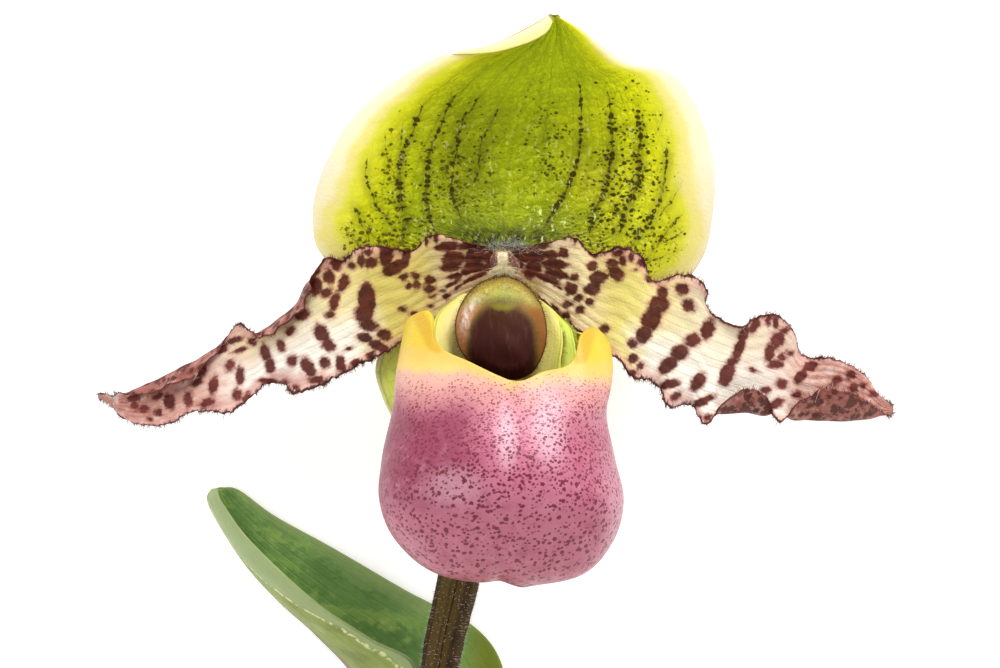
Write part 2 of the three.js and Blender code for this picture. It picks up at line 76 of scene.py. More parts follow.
def drawn(points):
    """The drawn x and y of points: where their lines of sight cross the heart's level."""
    nearness = 1 - points[..., 2] / EYE_HEIGHT
    return EYE_X + (points[..., 0] - EYE_X) / nearness, EYE_Y + (points[..., 1] - EYE_Y) / nearness


def spline(points, t, closed=False):
    """A smooth curve through evenly spaced points, at every t in 0..1."""
    points = np.asarray(points, float)
    t = np.asarray(t, float)
    if closed:
        points = np.concatenate((points[-1:], points, points[:2]))
        place = (t % 1) * (len(points) - 3)
    else:
        first, last = 2 * points[:1] - points[1:2], 2 * points[-1:] - points[-2:-1]
        points = np.concatenate((first, points, last))
        place = np.clip(t, 0, 1) * (len(points) - 3)
    start = np.minimum(place.astype(int), len(points) - 4)
    f = (place - start).reshape(place.shape + (1,) * (points.ndim - 1))
    before, a, b, after = (points[start + k] for k in range(4))
    leave, arrive = (b - before) / 2, (after - a) / 2
    return a + f * (leave + f * (3 * (b - a) - 2 * leave - arrive + f * (2 * (a - b) + leave + arrive)))


def step(value, low, high):
    """0 below low, 1 above high and smooth between."""
    share = np.clip((value - low) / (high - low), 0, 1)
    return share * share * (3 - 2 * share)


def hump(value, middle, width):
    return np.exp(-(((value - middle) / width) ** 2))


def unit(vectors):
    return vectors / np.maximum(np.linalg.norm(vectors, axis=-1, keepdims=True), TINY)


def grid(steps, steps_across):
    """Even steps along in 0..1 and across in -1..1, each alone and for every point of a net."""
    u, v = np.linspace(0, 1, steps), np.linspace(-1, 1, steps_across)
    return u, v, *np.meshgrid(u, v, indexing="ij")


def loft(rows, u, v):
    """A smooth net through rows of points, with u along the rows in 0..1 and v across in -1..1."""
    section = spline(rows, u).transpose(1, 0, 2)
    return spline(section, (v + 1) / 2).transpose(1, 0, 2)


def net_normals(net, closed=False):
    """Unit directions off a net, which is closed across if it goes all the way round."""
    along = np.gradient(net, axis=0)
    if closed:
        across = (np.roll(net, -1, axis=1) - np.roll(net, 1, axis=1)) / 2
    else:
        across = np.gradient(net, axis=1)
    return unit(np.cross(along, across))


def waves(places, count, reach, seed):
    """Smooth noise at places: a sum of sines that change over about the given reach."""
    source = np.random.default_rng(seed)
    total = 0
    for _ in range(count):
        turn = source.normal(size=places.shape[-1]) / reach
        total = total + np.sin(places @ turn + source.uniform(0, 2 * math.pi))
    return total / math.sqrt(count)


# ---- meshes ----------------------------------------------------------------------------------

def to_frame(points):
    return (points + HEART) * MM


def volume(vertices, faces):
    """The volume inside four-cornered faces, below nought when they face inwards."""
    first, second, third, fourth = (vertices[faces[:, k]] for k in range(4))
    cut = (np.cross(first, second) * third).sum() + (np.cross(first, third) * fourth).sum()
    return cut / 6


def new_piece(name, vertices, faces, fields, material, node=None):
    """A smooth mesh from points in millimetres from the heart, with painted values on its points."""
    mesh = bpy.data.meshes.new(name)
    mesh.from_pydata(to_frame(vertices).tolist(), [], faces)
    mesh.update()
    x, y = drawn(vertices)
    fields = dict(fields, drawn=np.stack((x, y, vertices[:, 2]), axis=-1))
    for field, values in fields.items():
        kind, key = ("FLOAT_VECTOR", "vector") if values.ndim == 2 else ("FLOAT", "value")
        mesh.attributes.new(field, kind, "POINT").data.foreach_set(key, values.ravel())
    mesh.shade_smooth()
    piece = bpy.data.objects.new(name, mesh)
    bpy.context.scene.collection.objects.link(piece)
    mesh.materials.append(material)
    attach(piece, "root")
    if node:
        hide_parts(node)


def by_row(values, net):
    """One value for each row of a net, on all points of the row."""
    return np.broadcast_to(values[:, None], net.shape[:2])


def flat_fields(fields, copies):
    """Fields of a net as values for its points, repeated once for each copy of the net."""
    return {name: np.concatenate([values.ravel()] * copies) for name, values in fields.items()}


def sheet(name, net, thickness, fields, material, node=None):
    """A closed sheet around a net: its front faces up, its back down, and its margins are closed.
    Gives the directions out of its front."""
    normals = net_normals(net)
    if normals[..., 2].mean() < 0:
        normals = -normals
    half = normals * thickness[..., None] / 2
    count = net.shape[0] * net.shape[1]
    vertices = np.concatenate(((net + half).reshape(-1, 3), (net - half).reshape(-1, 3)))
    index = np.arange(count).reshape(net.shape[:2])
    corners = (index[:-1, :-1], index[1:, :-1], index[1:, 1:], index[:-1, 1:])
    front = np.stack(corners, axis=-1).reshape(-1, 4)
    border = np.concatenate((index[:-1, 0], index[-1, :-1], index[:0:-1, -1], index[0, :0:-1]))
    following = np.roll(border, -1)
    wall = np.stack((following, border, border + count, following + count), axis=-1)
    faces = np.concatenate((front, front[:, ::-1] + count, wall))
    if volume(vertices, faces) < 0:
        faces = faces[:, ::-1]
    painted = flat_fields(fields, 2)
    painted["back"] = np.repeat((0.0, 1.0), count)
    new_piece(name, vertices, faces.tolist(), painted, material, node)
    return normals


def rings(name, net, fields, material, node=None):
    """A closed body of rings, with a flat end at its first and its last ring."""
    vertices = net.reshape(-1, 3)
    index = np.arange(len(vertices)).reshape(net.shape[:2])
    beside = np.roll(index, -1, axis=1)
    corners = (index[:-1], index[1:], beside[1:], beside[:-1])
    faces = np.stack(corners, axis=-1).reshape(-1, 4)
    ends = [index[0].tolist(), index[-1][::-1].tolist()]
    if volume(vertices, faces) < 0:
        faces = faces[:, ::-1]
        ends = [end[::-1] for end in ends]
    new_piece(name, vertices, faces.tolist() + ends, flat_fields(fields, 1), material, node)


HAIR_TAPER = 0.7        # a hair's thickness in its middle as a share of the thickness at its root


def hairs(name, material, roots, tips, bows, *, radius):
    """Thin three-sided hairs from roots to tips, each bowed sideways in its middle."""
    count = len(roots)
    lean = unit(tips - roots)
    aside = unit(np.cross(lean, lean[:, [1, 2, 0]] + 0.37))
    over = np.cross(lean, aside)
    angles = np.arange(3) * 2 * math.pi / 3
    spread = aside[:, None] * np.cos(angles)[:, None] + over[:, None] * np.sin(angles)[:, None]
    base = roots[:, None] + spread * radius
    middle = ((roots + tips) / 2 + bows)[:, None] + spread * radius * HAIR_TAPER
    vertices = np.concatenate((base, middle, tips[:, None]), axis=1).reshape(-1, 3)
    faces = []
    for k in range(0, 7 * count, 7):
        for a, b in ((0, 1), (1, 2), (2, 0)):
            faces += [(k + a, k + b, k + 3 + b, k + 3 + a), (k + 3 + a, k + 3 + b, k + 6)]
        faces.append((k + 2, k + 1, k))
    new_piece(name, vertices, faces, {}, material)


# ---- shader nodes ----------------------------------------------------------------------------

LIGHT_LEVEL = 1.3       # how bright the studio light makes a white surface
TISSUE = {"Subsurface_Weight": 0.2, "Subsurface_Radius": (1.0, 0.6, 0.35),
          "Subsurface_Scale": 0.0004, "Specular_IOR_Level": 0.3}


def linear(colour):
    """The linear base colour of a surface that shows a hexadecimal colour under the studio light."""
    channels = [int(colour[k:k + 2], 16) / 255 for k in (0, 2, 4)]
    shown = [c / 12.92 if c <= 0.04045 else ((c + 0.055) / 1.055) ** 2.4 for c in channels]
    return [c / LIGHT_LEVEL for c in shown] + [1.0]


class Value:
    """A number, place or colour that nodes work out at every point, with arithmetic on it."""

    def __init__(self, nodes, socket):
        self.nodes = nodes
        self.socket = socket

    def __add__(self, other):
        return self.nodes.math("ADD", self, other)

    def __sub__(self, other):
        return self.nodes.math("SUBTRACT", self, other)

    def __rsub__(self, other):
        return self.nodes.math("SUBTRACT", other, self)

    def __mul__(self, other):
        return self.nodes.math("MULTIPLY", self, other)

    def __truediv__(self, other):
        return self.nodes.math("DIVIDE", self, other)

    def __abs__(self):
        return self.nodes.math("ABSOLUTE", self)


class Nodes:
    """A node tree, put together one value at a time."""

    def __init__(self, tree):
        self.tree = tree
        self.tree.nodes.clear()

    def fill(self, kind, inputs, **settings):
        """A new node with its settings, and its inputs set or linked."""
        made = self.tree.nodes.new(kind)
        for key, value in settings.items():
            setattr(made, key, value)
        for key, value in dict(inputs).items():
            if isinstance(value, Value):
                self.tree.links.new(value.socket, made.inputs[key])
            else:
                made.inputs[key].default_value = value
        return made

    def node(self, kind, inputs=(), output=0, **settings):
        return Value(self, self.fill(kind, inputs, **settings).outputs[output])

    def field(self, name):
        """A number painted on the mesh's points."""
        return self.node("ShaderNodeAttribute", output=2, attribute_name=name)

    def place(self):
        """The point's drawn x and y and its height, in millimetres from the heart."""
        return self.node("ShaderNodeAttribute", output=1, attribute_name="drawn")

    def part(self, vector, axis):
        return self.node("ShaderNodeSeparateXYZ", {0: vector}, output=axis)

    def join(self, x, y, z=0.0):
        return self.node("ShaderNodeCombineXYZ", {0: x, 1: y, 2: z})

    def math(self, operation, *values):
        return self.node("ShaderNodeMath", enumerate(values), operation=operation)

    def most(self, a, b):
        return self.math("MAXIMUM", a, b)

    def pingpong(self, value):
        """A zigzag between 0 and 0.5."""
        return self.math("PINGPONG", value, 0.5)

    def reach(self, x, y):
        """How far x and y together lie from nought."""
        return self.node("ShaderNodeVectorMath", {0: self.join(x, y)}, output=1, operation="LENGTH")

    def share(self, value, start, end):
        """0 at start, 1 at end and straight between."""
        return self.node("ShaderNodeMapRange", {0: value, 1: start, 2: end})

    def step(self, value, low, high, start=0.0, end=1.0):
        """start at low and before, end at high and after, and smooth between."""
        inputs = {0: value, 1: low, 2: high, 3: start, 4: end}
        if low > high:
            inputs = {0: value, 1: high, 2: low, 3: end, 4: start}
        return self.node("ShaderNodeMapRange", inputs, interpolation_type="SMOOTHSTEP")

    def between(self, value, start, full, fade, end):
        """0 outside start and end, 1 from full to fade, and smooth between."""
        return self.step(value, start, full) * self.step(value, end, fade)

    def noise(self, vector, scale, detail=3.0, rough=0.5):
        inputs = {"Vector": vector, "Scale": scale, "Detail": detail, "Roughness": rough}
        return self.node("ShaderNodeTexNoise", inputs)

    def wobble(self, reach, *noise):
        """Smooth noise about nought, within half of reach."""
        return (self.noise(*noise) - 0.5) * reach

    def cells(self, vector, scale, feature="F1", output=0, spread=1.0):
        inputs = {"Vector": vector, "Scale": scale, "Randomness": spread}
        return self.node("ShaderNodeTexVoronoi", inputs, output=output, feature=feature)

    def lot(self, vector, scale, channel):
        """A random number for each cell: one channel of its random colour."""
        return self.part(self.cells(vector, scale, output=1), channel)

    def beads(self, place, scale, output=0):
        """Distance to the nearest bead on a line, or the bead's own random colour."""
        inputs = {"W": place, "Scale": scale}
        return self.node("ShaderNodeTexVoronoi", inputs, output=output, voronoi_dimensions="1D")

    def add_places(self, a, b):
        return self.node("ShaderNodeVectorMath", {0: a, 1: b}, operation="ADD")

    def stretch(self, vector, scale):
        return self.node("ShaderNodeMapping", {"Vector": vector, "Scale": scale})


class Paint(Nodes):
    """A material whose colour, the skin, is laid coat by coat."""

    def __init__(self, name):
        self.material = bpy.data.materials.new(name)
        self.material.use_nodes = True
        super().__init__(self.material.node_tree)
        self.skin = None

    def mix(self, share, a, b):
        a, b = (linear(c) if isinstance(c, str) else c for c in (a, b))
        return self.node("ShaderNodeMix", {0: share, 6: a, 7: b}, output=2, data_type="RGBA")

    def coat(self, colour, *shares):
        """Lays a colour over the skin, as thickly as the product of the shares."""
        share = shares[0]
        for factor in shares[1:]:
            share = share * factor
        self.skin = self.mix(share, self.skin, colour)

    def ramp(self, share, *stops):
        """A colour from pairs of place and colour."""
        made = self.fill("ShaderNodeValToRGB", {0: share})
        elements = made.color_ramp.elements
        made.color_ramp.interpolation = "EASE"
        while len(elements) < len(stops):
            elements.new(0.5)
        for element, (place, _) in zip(elements, stops):
            element.position = place
        for element, (_, colour) in zip(elements, stops):
            element.color = linear(colour)
        return Value(self, made.outputs[0])

    def finish(self, rough, height, distance, strength, **numbers):
        """The material of the skin with its roughness, a bump and the shader's other numbers."""
        bump = {"Height": height, "Distance": distance, "Strength": strength}
        inputs = {"Base Color": self.skin, "Roughness": rough, "Normal": self.node("ShaderNodeBump", bump)}
        inputs.update((key.replace("_", " "), value) for key, value in numbers.items())
        self.fill("ShaderNodeOutputMaterial", {0: self.node("ShaderNodeBsdfPrincipled", inputs)})
        return self.material


# ---- marks -----------------------------------------------------------------------------------

FAR_AWAY = 9.0
ROUTE_STEPS = 40
NEXT_ROW = 37.3         # sets each row's beads apart from those of the row before


def blotches(x, y, marks):
    """How far inside the nearest blotch each drawn point is, in millimetres. A mark is its middle,
    half its length, half its width and the direction of its length in degrees."""
    deepest = np.full(x.shape, -FAR_AWAY)
    for middle_x, middle_y, length, width, direction in marks:
        # every mark spreads a little, and those near the heart most
        growth = 1.10 + 0.22 * hump(middle_x, 0, 5)
        length, width = length * growth, width * growth
        turn = math.radians(direction)
        along = (x - middle_x) * math.cos(turn) + (y - middle_y) * math.sin(turn)
        across = (y - middle_y) * math.cos(turn) - (x - middle_x) * math.sin(turn)
        reach = np.sqrt((along / length) ** 2 + (across / width) ** 2)
        deepest = np.maximum(deepest, (1 - reach) * math.sqrt(length * width))
    return deepest


def bead_rows(x, y, rows):
    """The distance to the nearest row of beads, the same with a sign for its side, the place along
    the row, and the sizes of its beads and of its line."""
    nearest = np.full(x.shape, FAR_AWAY)
    side, place, size, line = (np.zeros(x.shape) for _ in range(4))
    for number, (bead_size, line_size, *points) in enumerate(rows):
        route = spline(points, np.linspace(0, 1, ROUTE_STEPS))
        lengths = np.linalg.norm(np.diff(route, axis=0), axis=1)
        start = np.concatenate(((0,), np.cumsum(lengths)))
        for k in range(len(route) - 1):
            (ax, ay), (bx, by) = route[k], route[k + 1]
            dx, dy = (bx - ax) / lengths[k], (by - ay) / lengths[k]
            run = np.clip((x - ax) * dx + (y - ay) * dy, 0, lengths[k])
            away = np.hypot(x - ax - run * dx, y - ay - run * dy)
            closer = away < nearest
            nearest = np.where(closer, away, nearest)
            sign = np.where((y - ay) * dx - (x - ax) * dy < 0, -1, 1)
            side = np.where(closer, away * sign, side)
            along = start[k] + run
            place = np.where(closer, along + NEXT_ROW * number, place)
            ends = step(along, 0, 1.2) * (1 - 0.5 * step(along, start[-1] - 1.5, start[-1]))
            size = np.where(closer, bead_size * (0.4 + 0.6 * ends), size)
            line = np.where(closer, line_size * ends, line)
    return nearest, side, place, size, line


# ---- sepals ----------------------------------------------------------------------------------

# Rows from the base to the tip: drawn x, y of the left margin, of the middle and of the right
# margin, then the height of the middle and of the margins.
DORSAL_ROWS = np.array((
    (-2.6, -0.6, 0, -0.4, 2.6, -0.6, -2.1, -2.2),
    (-7.5, -0.6, 0.1, 2.4, 8.0, -1.2, -2.7, -3.8),
    (-14.8, -1.6, 0.3, 4.2, 16.0, -3.0, -3.6, -5.6),
    (-18.5, 0.8, 0.6, 6.2, 19.6, 0.0, -4.2, -6.2),
    (-19.2, 4.8, 1.0, 8.8, 20.8, 5.0, -4.6, -6.2),
    (-18.2, 9.0, 1.5, 11.6, 20.8, 10.0, -4.6, -6.0),
    (-15.5, 13.9, 2.1, 14.4, 19.2, 15.1, -4.2, -5.6),
    (-11.5, 17.5, 2.8, 17.0, 16.4, 18.8, -3.4, -4.6),
    (-6.9, 20.2, 3.5, 19.2, 12.5, 19.7, -2.4, -3.0),
    (-1.4, 21.4, 4.1, 21.2, 9.8, 21.4, -1.5, -1.2),
    (2.6, 23.3, 4.8, 23.1, 7.5, 23.1, -0.9, -0.3),
    (4.55, 24.45, 4.9, 24.5, 5.3, 24.4, -0.6, -0.4),
))
DORSAL_HOLLOW = 4.0
DORSAL_STEPS, DORSAL_STEPS_ACROSS, FOLD_STEPS = 200, 190, 28
SYNSEPAL_ROWS = np.array((
    (-1.6, -2.7, 0, -2.8, 1.6, -2.7, -2.8, -2.8),
    (-7.0, -4.2, -0.6, -5.2, 5.6, -4.0, -3.3, -3.5),
    (-11.2, -7.2, -1.2, -8.5, 8.6, -7.0, -3.8, -3.8),
    (-12.9, -10.4, -1.8, -12.2, 9.4, -10.4, -4.2, -4.0),
    (-12.4, -13.3, -2.4, -16.0, 8.6, -14.4, -4.4, -4.2),
    (-10.6, -16.8, -3.0, -19.6, 6.2, -18.4, -4.6, -4.4),
    (-7.4, -20.6, -3.4, -22.6, 2.0, -21.8, -4.8, -4.7),
    (-4.2, -24.4, -3.7, -24.6, -3.1, -24.4, -5.0, -5.0),
))
SYNSEPAL_STEPS, SYNSEPAL_STEPS_ACROSS = 90, 70
SEPAL_THICKNESS = 0.6

# Rows of dark beads on the dorsal sepal's veins: the size of the beads, half the width of the line
# that joins them, then drawn points from the row's tip end to its base end.
BEAD_ROWS = (
    (1.0, 0.10, (-8.1, 15.7), (-8.9, 13.9), (-9.3, 12.3), (-10.0, 11.4), (-10.5, 9.5), (-10.5, 7.8),
     (-10.4, 6.5), (-10.4, 5.6), (-9.8, 3.9), (-10.1, 2.9), (-10.2, 1.8)),
    (0.95, 0.13, (-4.5, 17.2), (-5.7, 15.5), (-6.4, 13.5), (-7.2, 11.8), (-7.7, 9.7), (-7.8, 7.4),
     (-7.9, 6.2), (-7.7, 5.0), (-7.5, 4.1), (-7.0, 3.0)),
    (0.80, 0.12, (-2.5, 16.6), (-3.4, 15.2), (-4.2, 14.2), (-4.7, 12.1), (-4.9, 10.6), (-5.2, 9.5),
     (-5.3, 8.0), (-5.1, 5.9), (-4.3, 4.0)),
    (0.50, 0.05, (-0.6, 15.5), (-1.9, 12.8), (-2.3, 11.8), (-2.6, 10.6), (-2.6, 9.3), (-3.2, 7.6)),
    (0.55, 0.05, (-13.7, 10.3), (-13.9, 8.9), (-13.7, 7.6), (-13.1, 6.1), (-12.7, 5.2), (-11.9, 4.4),
     (-11.5, 3.5), (-10.9, 2.9)),
    (0.70, 0.06, (-15.3, 5.5), (-14.7, 4.8), (-14.4, 3.8), (-13.7, 2.7)),
    (0.32, 0.04, (-12.0, 12.8), (-11.9, 11.2), (-11.6, 9.6), (-11.1, 8.6)),
    (0.35, 0.03, (-10.2, 14.0), (-10.3, 12.6), (-10.5, 11.4)),
    (0.50, 0.04, (-16.0, 3.0), (-15.2, 2.2), (-14.4, 1.2)),
    (0.85, 0.10, (7.4, 18.3), (7.6, 16.6), (7.6, 14.4), (7.6, 13.3), (7.5, 11.4), (7.3, 10.4),
     (7.0, 9.2), (6.5, 7.8), (6.1, 6.8), (5.5, 5.9), (4.7, 4.5), (4.0, 3.2)),
    (0.95, 0.12, (10.2, 16.8), (10.6, 15.4), (10.6, 14.0), (10.7, 12.6), (10.7, 10.2), (10.4, 9.0),
     (10.2, 7.8), (9.8, 6.5), (9.0, 5.0), (8.6, 4.0), (8.4, 2.6)),
    (1.05, 0.10, (13.3, 15.6), (13.3, 14.2), (13.5, 12.8), (13.6, 11.8), (13.3, 10.3), (13.4, 9.2),
     (13.3, 8.3), (13.0, 7.0), (12.5, 5.9), (12.4, 5.4)),
    (0.85, 0.06, (10.6, 5.6), (11.3, 5.0), (11.9, 4.1), (11.4, 2.6)),
    (0.30, 0.04, (15.7, 15.4), (15.6, 14.2), (15.2, 13.0)),
    (0.70, 0.06, (16.1, 11.7), (16.1, 9.2), (15.8, 7.4), (15.3, 5.6), (14.7, 4.6), (14.3, 3.6),
     (13.5, 2.8), (12.8, 1.6)),
    (0.55, 0.06, (17.9, 8.3), (16.9, 6.3), (15.8, 4.9), (15.3, 4.2)),
    (0.50, 0.05, (18.3, 5.6), (17.9, 4.9), (16.4, 3.2), (15.4, 1.9), (14.6, 0.6)),
    (0.40, 0.04, (18.2, 3.4), (17.7, 2.8), (16.3, 2.1), (15.0, 1.4)),
    (0.35, 0.04, (17.5, 1.2), (16.5, 0.7), (15.5, 0.2), (14.3, -0.2)),
)
# How far the left margin folds over the face, from the base to the tip.
CRESCENT = (0,) * 14 + (0.15, 0.45, 0.95, 1.35, 1.25, 0.6)
CRESCENT_START, CRESCENT_FOLD = 0.84, 0.35


def sepal_net(rows, hollow, u, v):
    """A sepal's net, bent by its middle line and both margins and hollow between them."""
    left = spline(at(rows[:, 0], rows[:, 1], rows[:, 7]), u)[:, None]
    middle = spline(at(rows[:, 2], rows[:, 3], rows[:, 6]), u)[:, None]
    right = spline(at(rows[:, 4], rows[:, 5], rows[:, 7]), u)[:, None]
    across = v[None, :, None]
    sides = left * (across ** 2 - across) / 2 + right * (across ** 2 + across) / 2
    net = middle * (1 - across ** 2) + sides
    net[..., 2] += hollow * np.sin(math.pi * u)[:, None] * (v ** 2 - v ** 4)
    return net


def fold_left_margin(net, u, v):
    """The left margin near the tip folds forward over the face as a narrow crescent."""
    reach = spline(CRESCENT, u)[:, None]
    over = np.clip((-v - CRESCENT_START) / (1 - CRESCENT_START), 0, 1)[None]
    column = np.argmin(np.abs(v + CRESCENT_START))
    edge, start = net[:, :1], net[:, column:column + 1]
    out = np.clip(over / CRESCENT_FOLD, 0, 1)
    back = np.clip((over - CRESCENT_FOLD) / (1 - CRESCENT_FOLD), 0, 1)
    along = np.gradient(edge, axis=0)
    inward = unit(np.stack((along[..., 1], -along[..., 0], 0 * along[..., 2]), axis=-1))
    folded = start + (edge - start) * out[..., None] + inward * (reach * back)[..., None]
    folded[..., 2] += 0.35 * out * out + np.minimum(1, reach) * back * (1.0 - 0.35 * back)
    strength = step(reach, 0.05, 0.4) * (over > 0)
    return net * (1 - strength[..., None]) + folded * strength[..., None], back * strength


def make_dorsal_sepal():
    u = np.linspace(0, 1, DORSAL_STEPS)
    fold = np.linspace(-1, -CRESCENT_START, FOLD_STEPS)[:-1]
    v = np.concatenate((fold, np.linspace(-CRESCENT_START, 1, DORSAL_STEPS_ACROSS)))
    net = sepal_net(DORSAL_ROWS, DORSAL_HOLLOW, u, v)
    u2, v2 = np.meshgrid(u, v, indexing="ij")
    body = np.sin(math.pi * np.clip(u2, 0, 1)) ** 0.5
    # grooves between the veins, blisters on the blade and a gentle ripple along the margins
    grooves = -0.06 * np.cos(v2 * math.pi * 13) * body * (1 - v2 ** 2) * step(u2, 0.05, 0.35)
    blisters = 0.045 * waves(net, 16, 0.55, 3) * body
    ripple = 0.5 * np.abs(v2) ** 6 * waves(net, 10, 4.0, 5)
    net[..., 2] += grooves + blisters * (1 - np.abs(v2) ** 3) + ripple * (1 - step(u2, 0.7, 0.85))
    net, flap = fold_left_margin(net, u, v)
    x, y = drawn(net)
    gap, side, place, size, line = bead_rows(x, y, BEAD_ROWS)
    # where flecks are scattered and where the skin is olive
    inside = 1 - step(np.abs(v2) - 0.08 * (1 - step(y, 1, 7)), 0.76, 0.86)
    right = 0.95 * hump(x, 12.0, 4.6) * hump(y, 8.5, 8.0)
    middle = 0.75 * hump(x, 4.2, 3.2) * hump(y, 11.0, 6.0)
    left = 0.74 * hump(x, -5.0, 5.0) * hump(y, 8.5, 7.0)
    far_left = 0.76 * hump(x, -10.8, 2.3) * hump(y, 8.0, 6.5)
    low = 0.85 * step(np.abs(x - 0.5), 3, 8) * (1 - step(y, 2.5, 6.5))
    speckle = np.maximum.reduce((right, middle, left, far_left, low)) * inside
    olive = 0.95 * hump(x, -4.2, 3.6) * hump(y, 9.5, 7.5) + 0.55 * hump(x, 8.3, 4.0) * hump(y, 8.0, 7.0)
    thickness = SEPAL_THICKNESS * (1 - 0.72 * v2 ** 4)
    fields = {"u": u2, "v": v2, "gap": gap, "side": side, "run": place, "bead": size * inside,
              "line": line * inside, "speckle": speckle, "flap": flap,
              "olive": 0.9 * olive * (1 - step(np.abs(v2), 0.55, 0.8))}
    sheet("dorsal_sepal_skin", net, thickness, fields, dorsal_material(), "dorsal_sepal")


def make_synsepal():
    u, v, u2, v2 = grid(SYNSEPAL_STEPS, SYNSEPAL_STEPS_ACROSS)
    net = sepal_net(SYNSEPAL_ROWS, 0, u, v)
    net[..., 2] -= 0.07 * np.cos(v2 * math.pi * 11) * np.sin(math.pi * u2) ** 0.5
    thickness = SEPAL_THICKNESS * (1 - 0.7 * v2 ** 4)
    fields = {"u": u2, "v": v2}
    sheet("synsepal_skin", net, thickness, fields, synsepal_material(), "synsepal")


